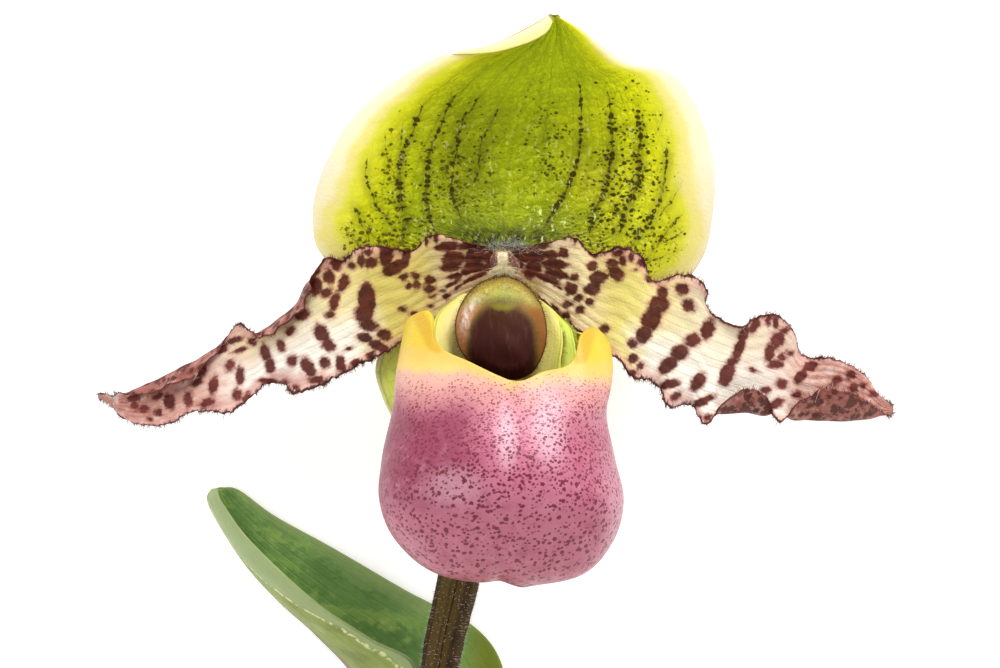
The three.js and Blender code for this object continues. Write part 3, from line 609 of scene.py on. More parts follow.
def dorsal_material():
    p = Paint("dorsal_sepal_skin")
    place, u, v, back = p.place(), p.field("u"), p.field("v"), p.field("back")
    x, y = p.part(place, 0), p.part(place, 1)
    wander = p.noise(place, 0.35, 3)
    aside = abs(v)
    edge = aside + (wander - 0.5) * 0.1
    edge = edge - p.step(y, 9.0, 1.0, 0.0, 0.1)
    edge = edge - p.step(u, 0.78, 0.93, 0.0, 0.1)
    p.skin = p.ramp(edge, (0.0, "98a704"), (0.25, "a0ae04"), (0.45, "adb804"), (0.6, "c2c80a"),
                    (0.7, "d2d214"), (0.78, "dedb3a"), (0.85, "eadd84"), (0.92, "f1e7c0"),
                    (1.0, "ece2cc"))
    inside = p.step(edge, 0.82, 0.6)
    middle = p.step(edge, 0.62, 0.25)
    # painted light: yellower and paler to the upper right and down the right side, lifting the shade of
    # the tilted crest; olive beside the rows of beads and green low down
    painted_light_upper_right = p.step(x, 4.0, 11.0) * p.step(y, 8.0, 16.0)
    p.coat("dee20e", painted_light_upper_right, inside, 0.9)
    painted_light_right_side = p.step(x, 4.0, 9.0) * p.step(y, 12.0, 8.0)
    p.coat("e2e028", painted_light_right_side, inside, 0.85)
    crest = p.step(y, 13.0, 19.0) * p.step(edge, 0.75, 0.4)
    p.coat("bcd008", crest, 0.75)
    p.coat("5e6202", p.field("olive"), p.step(wander, 0.2, 0.7, 0.95, 0.65))
    deep = p.step(y, 8.0, 2.0) * middle
    p.coat("587406", deep, 0.72)
    # broad light and dark green bands along the blade
    bands = p.noise(p.join(v * 9.0, u * 1.6), 1.0, 2)
    p.coat("6c7c04", p.step(bands, 0.5, 0.66), middle, 0.4)
    p.coat("bcc60a", p.step(bands, 0.5, 0.34), inside, 0.3)
    # small blocks between the veins and the cross veins
    bend = p.wobble(0.9, place, 1.6, 2)
    blade = p.add_places(p.join(v * 24.0, u * 42.0), bend)
    crease = p.cells(blade, 1.0, "DISTANCE_TO_EDGE", 0, 0.7)
    block = p.part(p.cells(blade, 1.0, output=1, spread=0.7), 0)
    p.coat("5c6c02", p.step(crease, 0.16, 0.0), inside, 0.26)
    p.coat("c6cc14", p.step(block, 0.5, 1.0), inside, 0.22)
    p.coat("727e04", p.step(block, 0.5, 0.0), inside, 0.24)
    # veins along the blade
    lines = p.pingpong(v * 6.5 + 0.25)
    vein = p.step(lines, 0.07, 0.0) * inside
    p.coat("5a6c04", vein, p.step(wander, 0.35, 0.7, 0.1, 0.35))
    # rows of beads, each in an olive shade
    gap, bead_size = p.field("gap"), p.field("bead")
    shade = p.step(gap, 1.0, 0.1) * bead_size * p.step(y, 17, 9, 0.2, 0.6)
    p.coat("646408", shade)
    side = p.field("side") + p.wobble(0.5, place, 1.1, 2)
    run = p.field("run") + p.wobble(0.5, place, 1.9, 2)
    near, lot = p.beads(run, 1.6), p.beads(run, 1.6, 1)
    low = p.step(bead_size, 0.85, 0.95) * p.step(y, 9.0, 6.0)
    width = p.step(p.part(lot, 0), 0.0, 0.9, 0.1, 0.34)
    width = width * bead_size * p.step(low, 0.0, 1.0, 1.0, 1.4)
    width = p.most(width, 0.01)
    length = p.step(p.part(lot, 1), 0.0, 1.0, 0.26, 0.58) * p.step(low, 0.0, 1.0, 1.0, 0.8)
    wide, tall = side / width, near / length
    round_off = p.math("SQRT", wide * wide + tall * tall)
    depth = (1.0 - round_off) * width
    tangle = p.noise(place, 2.5, 3, 0.6) - 0.5
    depth = depth + tangle * p.step(width, 0.03, 0.2, 0.0, 0.22)
    close = p.step(gap, 0.95, 0.75) * p.step(bead_size, 0.02, 0.12)
    true_side = abs(p.field("side")) - gap * 0.6
    close = close * p.step(true_side, -0.08, -0.02)
    beaded = p.step(depth, -0.05, 0.07) * close * p.step(width, 0.03, 0.07)
    thin = p.field("line") * p.step(p.noise(p.join(run, 0.0), 0.9, 2), 0.35, 0.62, 0.1, 1.1)
    thread = thin - abs(side)
    threaded = p.step(thread, -0.06, 0.04) * close * 0.45
    # scattered flecks, in loose flocks
    flock = p.step(p.noise(place, 0.8, 2), 0.35, 0.62, 0.0, 0.45)
    warp = p.node("ShaderNodeTexNoise", {"Vector": place, "Scale": 1.3, "Detail": 2.0}, output=1)
    warp = p.node("ShaderNodeVectorMath", {0: warp, 1: (0.5, 0.5, 0.5)}, operation="SUBTRACT")
    warp = p.node("ShaderNodeVectorMath", {0: warp, 3: 0.5}, operation="SCALE")
    spots = p.stretch(p.add_places(place, warp), (0.78, 1.0, 1.0))
    scattered = None
    for scale, channel, largest, strong in ((1.7, 0, 0.36, 0.95), (2.6, 1, 0.36, 0.85)):
        cell, chance = p.cells(spots, scale), p.lot(spots, scale, channel)
        wanted = p.field("speckle") + chance * 0.65 + flock
        wanted = p.step(wanted, 0.75, 1.45, 0.0, largest) * p.step(p.field("speckle"), 0.04, 0.2)
        fleck = wanted - (cell + tangle * 0.08)
        fleck = p.step(fleck, -0.07, 0.12) * p.step(wanted, 0.02, 0.12) * strong
        scattered = fleck if scattered is None else p.most(scattered, fleck)
    scattered = scattered * p.step(x, 2.0, 9.0, 0.85, 0.98)
    web = p.step(p.cells(spots, 1.9, "DISTANCE_TO_EDGE"), 0.11, 0.0)
    webbed = web * p.most(p.field("speckle"), p.field("olive")) * flock
    p.coat("4e4a04", webbed, p.step(back, 0.5, 0.4, 0.0, 1.4))
    brown = p.mix(p.step(bead_size, 0.2, 0.7), "2c1c00", "160a00")
    facing = p.step(back, 0.5, 0.4)
    marks = p.most(p.most(beaded * 0.93, threaded), scattered)
    p.coat(brown, marks, facing)
    # painted shade in the hollows at the very base, and painted glints low in the middle, where the skin
    # is also glossier
    painted_base_shade = p.step(y, 4.8, 2.2) * p.step(abs(x), 8.0, 4.0) * facing
    p.coat("1e2a04", painted_base_shade, p.step(p.noise(place, 1.1, 3), 0.35, 0.6, 0.45, 1.0))
    glint = p.noise(p.stretch(p.add_places(place, warp), (1.1, 0.5, 1.0)), 2.2, 3, 0.6)
    glossy_glint_area = p.step(y, 10.5, 6.5) * p.between(x, -1.0, 3.0, 8.0, 12.0)
    painted_glint_share = p.most(glossy_glint_area * 0.75, p.step(y, 16.0, 12.0) * inside * 0.35)
    p.coat("e8ee98", p.step(glint, 0.58, 0.72), painted_glint_share, facing)
    # the outside of the sepal is paler
    p.coat("d9dd9a", back, 0.35)
    p.coat("f6eebb", back, p.step(aside, 0.8, 0.9))
    # the folded crescent is cream with a brown outline, and the very tip is brown
    flap = p.field("flap")
    p.coat(p.mix(p.step(flap, 0.2, 0.9), "f6ecb8", "efe493"), p.step(flap, 0.01, 0.06))
    outline = p.between(flap, 0.0, 0.02, 0.04, 0.1)
    p.coat("8a6a3a", outline, p.step(x, -4.5, 0.5, 0.0, 0.75))
    p.coat("5a3c14", p.step(u, 0.985, 0.995), 0.7)
    grain = p.noise(place, 3.0, 4, 0.6)
    height = p.step(crease, 0.0, 0.4) * inside * 0.8 + (grain * 0.8 - vein * 0.3)
    rough = p.step(grain, 0.35, 0.65, 0.5, 0.36) - glossy_glint_area * 0.12
    gloss = dict(TISSUE, Specular_Tint=(1.0, 0.9, 0.25, 1.0))
    return p.finish(rough, height, 0.0001, 0.8, **gloss)


def synsepal_material():
    p = Paint("synsepal_skin")
    place, u, v, back = p.place(), p.field("u"), p.field("v"), p.field("back")
    aside = abs(v)
    p.skin = p.ramp(aside, (0.0, "cedc44"), (0.6, "dae656"), (0.9, "e6ee6c"), (1.0, "eef0ae"))
    p.coat("a0b434", p.noise(place, 0.5), 0.35)
    lines = p.pingpong(v * 5.5 + 0.25)
    vein = p.step(lines, 0.1, 0.0)
    p.coat("7a9428", vein, 0.4)
    net = p.cells(p.join(v * 11.0, u * 14.0), 1.0, "DISTANCE_TO_EDGE")
    p.coat("7a9428", p.step(net, 0.07, 0.0), 0.25)
    p.coat("c9cf96", back, 0.3)
    grain = p.noise(place, 3.2, 4, 0.6)
    rough = p.step(grain, 0.3, 0.7, 0.55, 0.38)
    return p.finish(rough, grain - vein * 0.6, 0.0002, 0.5, **TISSUE)


# ---- petals ----------------------------------------------------------------------------------

# Rows from the base to the tip: drawn x, y of the upper outline, x, y of the lower outline,
# height of the middle, how far the upper and the lower margin wave up,
# and how far the upper and the lower margin roll over the face.
LEFT_PETAL_ROWS = np.array((
    (-1.9, 0.9, -2.2, -2.2, -1.2, 0, 0, 0, 0),
    (-3.8, 1.8, -4.3, -4.0, -0.9, 0.2, 0.0, 0, 0),
    (-7.1, 2.6, -7.1, -6.0, -0.8, 0.8, 0.0, 0, 0),
    (-9.5, 1.0, -10.0, -7.8, -1.2, -0.5, 0.1, 0, 0),
    (-12.1, 1.4, -12.1, -9.4, -1.8, 0.9, 0.3, 0, 0),
    (-14.5, 1.3, -14.3, -10.4, -2.6, 0.4, 0.2, 0, 0),
    (-16.0, 0.0, -16.5, -11.6, -3.3, -0.8, 0.6, 0, 0),
    (-18.3, 0.1, -18.5, -12.6, -4.2, 0.7, 0.7, 0, 0),
    (-19.8, -2.4, -20.8, -13.3, -5.2, 0.4, -0.4, 0.7, 0),
    (-20.8, -4.6, -22.5, -12.4, -5.9, 0.2, -0.6, 0.8, 0),
    (-23.1, -6.4, -24.3, -12.6, -6.9, 0.0, 0.2, 1.0, 0),
    (-25.0, -7.0, -25.8, -14.2, -7.9, 0.2, 0.8, 0.3, 0),
    (-26.5, -6.3, -27.7, -15.3, -8.8, 0.9, 0.3, 0, 0),
    (-28.1, -7.7, -30.0, -15.1, -9.8, 0.5, -0.4, 0.2, 0),
    (-30.5, -9.9, -32.1, -15.5, -11.2, 0.1, 0.2, 1.0, 0),
    (-33.5, -11.5, -34.3, -16.5, -12.6, 0.1, 0.5, 1.0, 0.0),
    (-36.3, -12.6, -36.7, -16.4, -14.0, 0.2, 0.3, 0.6, 0.0),
    (-38.3, -13.2, -38.3, -15.7, -15.2, 0.2, 0.1, 0, 0),
    (-39.2, -13.6, -39.1, -14.8, -15.8, 0.0, 0.0, 0, 0),
    (-40.3, -13.3, -40.2, -14.0, -16.4, 0.1, 0.0, 0, 0),
    (-40.7, -13.4, -40.7, -13.8, -16.7, 0.0, 0.0, 0, 0),
))
RIGHT_PETAL_ROWS = np.array((
    (1.9, 0.9, 2.2, -2.2, -1.2, 0, 0, 0, 0),
    (4.0, 1.7, 4.1, -4.3, -0.9, 0.2, 0.0, 0, 0),
    (6.9, 2.3, 7.2, -7.0, -0.8, 0.6, 0.0, 0, 0),
    (8.7, 0.7, 9.9, -9.0, -1.2, -0.6, 0.1, 0, 0),
    (11.7, 1.3, 11.3, -10.1, -1.8, 0.8, 0.4, 0, 0),
    (13.5, 0.4, 12.5, -11.7, -2.5, 0.2, 0.5, 0, 0),
    (15.0, -2.0, 14.3, -12.0, -3.3, -0.8, -0.2, 0, 0),
    (17.5, -1.4, 15.6, -13.0, -4.1, 0.7, -0.3, 0, 0),
    (19.5, -2.0, 16.3, -14.8, -5.0, 0.8, 0.7, 0, 0),
    (20.0, -3.8, 18.5, -14.5, -5.6, -0.2, -0.4, 0.2, 0),
    (20.9, -5.1, 20.1, -16.5, -6.2, -0.1, 0.8, 0.3, 0),
    (23.3, -6.2, 21.7, -15.2, -7.3, -0.2, 0.1, 0.25, 0.8),
    (25.2, -5.7, 24.0, -15.1, -8.4, 0.4, -0.2, 0, 1.6),
    (27.0, -5.4, 26.0, -15.3, -9.4, 0.9, -0.1, 0, 1.2),
    (28.6, -6.7, 27.4, -16.3, -10.2, 0.4, 0.8, 0, 0),
    (29.3, -9.0, 28.7, -15.8, -11.0, -0.6, 0.1, 0, 0.8),
    (30.7, -9.8, 30.5, -15.9, -12.0, -0.3, -0.2, 0, 1.8),
    (32.3, -9.7, 32.7, -16.0, -13.0, 0.6, -0.1, 0, 2.3),
    (34.3, -10.4, 35.0, -15.9, -14.0, 0.4, 0.1, 0, 1.9),
    (36.1, -11.6, 36.5, -15.8, -14.9, 0.1, 0.1, 0, 1.2),
    (37.4, -13.4, 37.5, -15.7, -15.8, 0.0, 0.0, 0, 0.5),
    (38.3, -14.2, 38.3, -15.6, -16.4, 0.0, 0.0, 0, 0),
    (38.8, -14.6, 38.8, -15.3, -16.7, 0.0, 0.0, 0, 0),
))
PETAL_SHOULDER = 0.6     # how far out the section's shoulder is on a margin without a roll
FULL_ROLL = 0.8          # the roll that moves the shoulder out to the margin
ROLL_LIFT = 1.5
ROLL_INWARD = 1.3
PETAL_THICKNESS = 0.36
PETAL_STEPS, PETAL_STEPS_ACROSS = 320, 96
BASE_ABOVE, BASE_BELOW = 0.45, 0.8     # how much wider a petal's base is than its first row
BASE_INWARD = 0.1                      # where the base starts, as a share of the first row's x
PETAL_CLEARANCE = 0.35                 # the lowest height of a petal's middle above the floor

# Maroon blotches: drawn x, y of the middle, half the length, half the width, direction.
LEFT_BLOTCHES = (
    (-13.75, -3.9, 1.45, 0.78, 92), (-14.0, -5.3, 0.95, 0.82, 60), (-13.6, -6.5, 0.9, 0.55, -15),
    (-13.9, -7.8, 0.7, 0.4, -10), (-12.6, -8.6, 0.95, 0.45, -25), (-12.0, -7.5, 0.6, 0.45, -20),
    (-16.1, -2.3, 0.75, 0.5, 70), (-17.0, -4.1, 0.9, 0.42, 75), (-17.4, -5.5, 0.4, 0.3, 0),
    (-17.6, -1.7, 0.7, 0.5, 100), (-17.8, -3.3, 0.55, 0.42, 20), (-19.0, -2.5, 0.9, 0.7, 110),
    (-18.9, -1.2, 0.45, 0.35, 80), (-16.9, -0.3, 0.65, 0.5, 90), (-15.2, -0.5, 0.35, 0.32, 0),
    (-14.3, 0.0, 0.55, 0.36, 90), (-13.3, -0.3, 0.6, 0.42, 45), (-13.6, 0.75, 0.3, 0.25, 0),
    (-11.9, 0.5, 1.0, 0.6, 90), (-11.0, -0.75, 1.2, 0.6, 25), (-9.9, 0.2, 0.95, 0.4, 85),
    (-10.1, -1.7, 0.42, 0.36, 0), (-8.9, -1.55, 0.4, 0.32, 0), (-9.6, -2.6, 0.3, 0.27, 0),
    (-8.8, -2.45, 0.38, 0.3, 90), (-10.2, -4.9, 0.36, 0.28, 0), (-9.1, -5.35, 0.42, 0.2, 10),
    (-18.3, -7.3, 0.85, 0.6, 115), (-17.6, -8.5, 0.75, 0.5, -40), (-20.2, -5.5, 0.65, 0.45, 20),
    (-21.4, -7.1, 0.45, 0.4, 0), (-22.3, -8.6, 0.5, 0.35, 110), (-21.2, -10.1, 0.5, 0.42, 90),
    (-19.6, -10.7, 0.95, 0.5, 120), (-18.8, -12.0, 0.65, 0.35, 0), (-17.9, -10.3, 0.45, 0.42, 0),
    (-16.4, -10.4, 0.75, 0.42, 100), (-14.9, -10.3, 0.45, 0.28, 30), (-13.4, -9.5, 0.4, 0.28, 30),
    (-15.6, -8.9, 0.32, 0.15, 10), (-23.9, -9.2, 0.75, 0.4, 100), (-23.4, -10.6, 0.7, 0.42, 95),
    (-25.2, -8.1, 0.42, 0.38, 0), (-28.2, -8.9, 0.6, 0.32, 40), (-27.4, -10.5, 0.5, 0.4, 60),
    (-26.4, -11.5, 0.8, 0.36, 95), (-26.7, -13.5, 0.55, 0.42, 90), (-25.8, -13.9, 0.5, 0.34, 60),
    (-27.0, -8.0, 0.8, 0.3, 15), (-26.4, -9.0, 0.7, 0.22, 20), (-29.1, -12.6, 0.85, 0.42, 80),
    (-29.7, -14.3, 0.6, 0.36, 20), (-30.4, -11.1, 0.6, 0.5, 45), (-31.9, -11.2, 0.75, 0.3, 10),
    (-30.8, -12.3, 0.6, 0.3, 30), (-31.6, -13.9, 0.65, 0.4, 90), (-33.5, -14.2, 0.75, 0.5, 110),
    (-34.6, -15.3, 0.32, 0.3, 0), (-36.0, -14.9, 0.42, 0.38, 0), (-37.0, -14.6, 0.38, 0.3, 90),
    (-37.0, -13.8, 0.6, 0.32, 10), (-34.6, -13.6, 0.5, 0.3, 30), (-35.4, -15.9, 0.25, 0.2, 0),
    (-21.9, -12.2, 0.36, 0.24, 0), (-20.9, -12.7, 0.28, 0.22, 0), (-23.7, -12.1, 0.8, 0.26, 0),
    (-5.8, 1.4, 1.0, 0.42, 10), (-5.1, 0.1, 1.0, 0.62, 0), (-5.5, -0.8, 0.9, 0.34, 0),
    (-3.0, 0.5, 0.95, 0.75, 60), (-4.9, -1.6, 0.75, 0.3, 10), (-3.1, -0.6, 0.85, 0.5, 0),
    (-2.1, 0.3, 0.6, 0.4, 0), (-7.5, -2.0, 0.48, 0.42, 0), (-7.6, -2.9, 0.6, 0.34, 10),
    (-6.2, -3.1, 0.28, 0.24, 0), (-5.9, -3.7, 0.36, 0.26, 20), (-7.1, -3.6, 0.32, 0.18, 20),
    (-7.5, -4.6, 0.28, 0.2, 0), (-6.0, -4.9, 0.8, 0.14, 40), (-4.5, -2.6, 0.8, 0.13, 30),
    (-7.8, 1.9, 0.35, 0.18, 100), (-6.9, 2.1, 0.4, 0.16, 100), (-1.6, -0.7, 0.6, 0.3, 0),
    (-3.6, 1.4, 0.9, 0.3, 0), (-2.2, 1.3, 0.9, 0.25, 0), (-4.0, -1.2, 0.4, 0.3, 0),
    (-1.2, 1.2, 0.9, 0.32, 0), (-1.5, 0.4, 0.5, 0.34, 0), (-1.5, -0.1, 0.35, 0.25, 0),
    (-0.5, 1.6, 0.8, 0.25, 0), (-2.5, -1.5, 0.5, 0.2, 20), (-3.6, -2.0, 0.6, 0.18, 25),
    (-5.2, -2.3, 0.7, 0.14, 25),
)
RIGHT_BLOTCHES = (
    (15.7, -3.3, 0.6, 0.48, 90), (15.3, -4.5, 1.0, 0.82, 30), (14.6, -5.9, 1.05, 0.85, 50),
    (13.8, -7.4, 0.9, 0.65, 50), (12.7, -8.35, 0.5, 0.42, 30), (9.9, -6.9, 0.44, 0.4, 0),
    (17.7, -2.9, 0.58, 0.52, 0), (18.3, -4.5, 0.62, 0.5, 120), (20.2, -6.9, 0.95, 0.58, 70),
    (18.7, -8.0, 0.72, 0.6, 30), (17.4, -9.25, 0.85, 0.66, 30), (16.2, -10.5, 0.98, 0.62, 40),
    (12.65, -9.9, 0.5, 0.45, 0), (13.5, -10.5, 0.36, 0.32, 0), (12.65, -11.3, 0.45, 0.25, 10),
    (16.4, -12.4, 0.85, 0.4, 10), (17.0, -13.6, 0.55, 0.34, 40), (19.2, -12.2, 0.92, 0.55, 55),
    (19.8, -14.1, 1.05, 0.34, 30), (20.3, -15.8, 0.36, 0.3, 0), (22.1, -11.4, 1.1, 0.62, 65),
    (22.7, -10.1, 0.55, 0.38, 30), (23.3, -8.9, 0.95, 0.46, 65), (23.8, -7.4, 0.72, 0.42, 65),
    (24.9, -6.5, 0.72, 0.4, 60), (26.3, -5.9, 0.5, 0.26, 90), (27.0, -6.3, 0.5, 0.26, 90),
    (28.0, -7.0, 0.45, 0.25, 20), (27.2, -7.9, 0.75, 0.6, 70), (26.4, -9.2, 0.85, 0.42, 80),
    (27.0, -10.4, 0.75, 0.42, 10), (27.6, -9.8, 0.4, 0.3, 60), (28.4, -9.25, 0.26, 0.2, 0),
    (24.7, -11.0, 0.4, 0.2, -20), (27.6, -12.4, 0.46, 0.42, 0), (29.1, -13.4, 0.38, 0.32, 0),
    (27.0, -14.4, 0.75, 0.4, 30), (26.0, -13.0, 0.42, 0.3, 0), (23.5, -14.5, 0.3, 0.3, 0),
    (24.7, -14.0, 0.32, 0.3, 0), (29.5, -11.6, 0.8, 0.42, 55), (30.5, -10.6, 0.65, 0.4, 20),
    (34.5, -11.5, 0.5, 0.38, 30), (33.1, -12.0, 0.5, 0.36, 20), (34.8, -12.8, 0.42, 0.38, 0),
    (35.7, -12.6, 0.32, 0.28, 0), (32.0, -14.1, 0.42, 0.34, 0), (31.3, -15.0, 0.28, 0.26, 0),
    (33.1, -14.7, 0.3, 0.3, 0), (34.0, -14.2, 0.3, 0.2, 0), (36.8, -13.4, 0.4, 0.26, -30),
    (11.8, -0.1, 0.46, 0.3, 90), (12.6, 0.25, 0.4, 0.24, 90), (13.7, -0.3, 0.45, 0.4, 0),
    (11.1, -1.3, 0.75, 0.6, -40), (10.7, -0.3, 0.55, 0.42, 0), (11.3, 0.7, 0.6, 0.3, 20),
    (14.3, -1.9, 0.4, 0.28, -30), (12.9, -1.0, 0.22, 0.12, 0), (8.9, 0.7, 0.55, 0.34, 110),
    (8.7, -0.6, 0.5, 0.42, 0), (9.3, -1.8, 0.85, 0.62, 20), (8.7, -2.9, 0.8, 0.6, 20),
    (8.45, -4.2, 0.36, 0.32, 0), (5.9, 0.7, 0.55, 0.34, 110), (4.5, 0.55, 0.7, 0.4, 0),
    (4.9, -0.45, 1.1, 0.5, 0), (5.2, -1.4, 1.0, 0.42, -10), (3.2, 0.4, 0.8, 0.48, 0),
    (2.9, -0.7, 0.7, 0.55, 0), (2.0, 0.2, 0.5, 0.4, 0), (4.3, -1.9, 1.1, 0.32, -20),
    (6.9, -1.7, 0.36, 0.3, 0), (6.6, -2.9, 0.55, 0.6, 0), (7.4, -3.8, 0.44, 0.36, 0),
    (6.2, -4.4, 0.42, 0.32, 0), (7.5, -5.0, 0.44, 0.42, 0), (6.1, -5.5, 0.36, 0.32, 0),
    (5.1, -4.8, 0.4, 0.16, -50), (5.4, -2.8, 0.55, 0.16, -30), (6.5, -6.4, 0.3, 0.26, 0),
    (5.4, -6.1, 0.42, 0.22, -20), (7.7, -7.5, 0.45, 0.3, -40), (7.9, 2.0, 0.3, 0.16, 100),
    (7.0, 1.9, 0.3, 0.15, 80), (2.4, -1.4, 0.5, 0.3, -20), (1.2, 1.0, 0.9, 0.32, 0),
    (1.3, 0.3, 0.45, 0.36, 0), (1.5, -0.4, 0.35, 0.3, 0), (0.5, 1.5, 0.8, 0.25, 0),
    (3.4, 1.3, 1.0, 0.22, 6),
)


def petal_side(outline, middle, depth, wave, roll):
    """The shoulder and the margin of one side of a petal, for every row."""
    shoulder = PETAL_SHOULDER + (1 - PETAL_SHOULDER) * np.minimum(1, roll / FULL_ROLL)
    width = np.linalg.norm(outline - middle, axis=1)
    inward = 1 - np.minimum(roll * ROLL_INWARD / width, 0.9)
    out = outline - middle
    near, far = (middle + out * share[:, None] for share in (shoulder, inward))
    return (at(near[:, 0], near[:, 1], depth + wave * PETAL_SHOULDER ** 2),
            at(far[:, 0], far[:, 1], depth + wave + roll * ROLL_LIFT))


def petal_net(rows, u, v):
    """A petal's net through its margins, shoulders and middle."""
    upper, lower, depth = rows[:, 0:2], rows[:, 2:4], rows[:, 4]
    middle = (upper + lower) / 2
    low_shoulder, low_margin = petal_side(lower, middle, depth, rows[:, 6], rows[:, 8])
    up_shoulder, up_margin = petal_side(upper, middle, depth, rows[:, 5], rows[:, 7])
    crest = at(middle[:, 0], middle[:, 1], depth)
    return loft(np.stack((low_margin, low_shoulder, crest, up_shoulder, up_margin), axis=1), u, v)


def make_petal(name, rows, marks, material, *, seed):
    """Gives the petal's net and the directions out of its front."""
    rows = rows.copy()
    rows[0, 1] += BASE_ABOVE
    rows[0, 3] -= BASE_BELOW
    base = rows[0].copy()
    base[[0, 2]] *= BASE_INWARD
    rows = np.vstack((base, rows))
    u, v, u2, v2 = grid(PETAL_STEPS, PETAL_STEPS_ACROSS)
    net = petal_net(rows, u, v)
    inner = step(u2, 0.0, 0.12)
    frill = np.abs(v2) ** 7 * inner * (1 - 0.7 * u2 ** 3)
    normals = net_normals(net)
    ribs = 0.045 * np.cos(v2 * math.pi * 9) * inner * (1 - v2 ** 2)
    shift = 0.36 * frill * waves(net, 12, 0.55, seed) - ribs
    shift = shift + 0.05 * waves(net, 12, 0.8, seed + 1) * inner
    net = net + normals * shift[..., None]
    edge = frill * 0.12 * waves(net, 10, 0.22, seed + 2)
    net = net + unit(np.gradient(net, axis=1)) * (edge * np.sign(v2))[..., None]
    net[..., 2] = np.maximum(net[..., 2], FLOOR + PETAL_CLEARANCE)
    x, y = drawn(net)
    # the veins follow the petal's outline, evened out
    upper, lower = (np.polyval(np.polyfit(rows[:, k], rows[:, k + 1], 3), x) for k in (0, 2))
    thickness = PETAL_THICKNESS * (1 - 0.62 * v2 ** 4) * (1 - 0.5 * u2 ** 4)
    fields = {"u": u2, "v": v2, "blotch": blotches(x, y, marks),
              "stripe": (y - lower) / (upper - lower)}
    return net, sheet(name + "_skin", net, thickness, fields, material, name)


def petal_material():
    p = Paint("petal_skin")
    place, u, v, back = p.place(), p.field("u"), p.field("v"), p.field("back")
    x = p.part(place, 0)
    out = abs(x)
    wander = p.noise(place, 0.45, 3)
    away = out + (wander - 0.5) * 4.0
    p.skin = p.ramp(away / 40, (0.05, "c9a680"), (0.14, "d6be90"), (0.22, "dcc97c"), (0.32, "e4d678"),
                    (0.4, "f2e2b0"), (0.52, "faeedc"), (0.66, "f6e0d0"), (0.76, "e0b2a2"),
                    (0.88, "cd9488"), (1.0, "c88c80"))
    right_base = p.between(x, 3.0, 5.0, 8.0, 11.0)
    p.coat("ecdcb0", right_base, 0.6)
    left_base = p.between(x, -6.0, -9.0, -13.0, -16.0)
    p.coat("c6b04e", left_base, 0.5)
    aside = abs(v)
    # a yellow upper half and a white lower half in the middle of the petal
    upper = p.step(v, -0.1, 0.45)
    mid = p.between(away, 10, 15, 24, 30)
    p.coat("ead884", upper, mid, p.step(x, 13.0, 18.0, 0.6, 0.25))
    pale = p.step(v, 0.15, -0.3) * p.between(away, 11, 15, 24, 30)
    p.coat("fffaf0", pale, 0.85)
    low_left = p.step(x, -16.0, -21.0) * p.most(p.step(v, -0.1, -0.6), p.step(v, 0.2, 0.6))
    blush = aside + low_left * 0.22 + (wander - 0.5) * 0.6
    p.coat("dca49a", p.step(blush, 0.62, 0.96), p.step(out, 4, 14, 0.2, 0.8))
    # veins along the petal
    lines = p.pingpong(p.field("stripe") * 13.0 + wander * 0.5)
    vein = p.step(lines, 0.12, 0.0) * p.step(aside, 0.97, 0.75)
    p.coat("c6be4c", vein, p.step(out, 32, 16, 0.12, 0.42))
    ragged = p.wobble(0.85, place, 1.5, 4, 0.65)
    depth = p.field("blotch") + ragged
    depth = depth + p.step(lines, 0.25, 0.5) * 0.07
    marked = p.step(depth, -0.2, 0.16)
    halo = p.step(depth, -0.5, 0.0) * p.step(out, 8, 16, 0.3, 0.5)
    p.coat("bd7264", halo)
    # pink and cream mottling on the outer half
    patchy = p.noise(p.stretch(place, (0.9, 1.5, 1.0)), 0.9, 4, 0.65)
    outer = p.step(away, 24, 32)
    p.coat("f2ddd2", p.step(patchy, 0.5, 0.66), outer, 0.55)
    p.coat("95504c", p.step(patchy, 0.45, 0.34), outer, 0.45)
    dark = p.mix(p.step(p.noise(place, 1.6, 3), 0.3, 0.7), "340604", "5c160c")
    dark = p.mix(p.step(out, 12, 26), dark, p.mix(p.step(wander, 0.3, 0.7), "501410", "742e2c"))
    p.coat(dark, marked, 0.96)
    # a dark margin with short dark teeth behind it
    teeth = p.noise(p.join(u * 150.0, v * 3.0), 1.0, 2)
    toothed = p.step(teeth, 0.48, 0.58) * p.step(aside, 0.85, 0.94)
    p.coat("541a18", toothed, 0.75)
    rim = p.step(aside + p.wobble(0.08, place, 2.6, 2), 0.93, 0.97)
    p.coat("401010", rim, 0.94)
    p.coat("935348", back, 0.85)
    smudge = p.noise(place, 0.9, 4, 0.6)
    p.coat("4c1a18", back, p.step(smudge, 0.5, 0.57), 0.85)
    rounds = p.step(p.cells(place, 0.95), 0.42, 0.25)
    p.coat("4c1a18", back, rounds, 0.8)
    p.coat("d4a898", back, p.step(smudge, 0.42, 0.34), 0.45)
    grain = p.noise(place, 3.4, 4, 0.6)
    rough = p.step(grain, 0.3, 0.7, 0.52, 0.36)
    height = grain - vein * 0.2 + marked * 0.3
    gloss = dict(TISSUE, Specular_IOR_Level=0.16, Specular_Tint=(1.0, 0.75, 0.6, 1.0))
    return p.finish(rough, height, 0.0002, 0.6, **gloss)


# ---- pouch -----------------------------------------------------------------------------------

# The rim, from the back of the mouth round by the left ear, the front and the right ear:
# drawn x, y and height.
POUCH_RIM = np.array((
    (0.3, -3.0, 0.5), (-2.2, -3.5, 0.6), (-4.8, -4.6, 0.9), (-6.8, -5.8, 1.8), (-8.8, -6.8, 3.2),
    (-10.1, -6.8, 5.2), (-9.4, -5.7, 7.6), (-7.6, -5.4, 9.6), (-6.8, -8.6, 11.6), (-3.6, -10.3, 13.4),
    (0.9, -12.2, 14.4), (3.8, -11.3, 13.4), (6.6, -10.4, 11.6), (7.7, -7.6, 9.6), (9.2, -6.9, 7.6),
    (10.6, -8.6, 5.2), (9.6, -8.6, 3.2), (7.2, -7.4, 1.8), (5.0, -5.2, 0.9), (2.6, -3.6, 0.6),
))
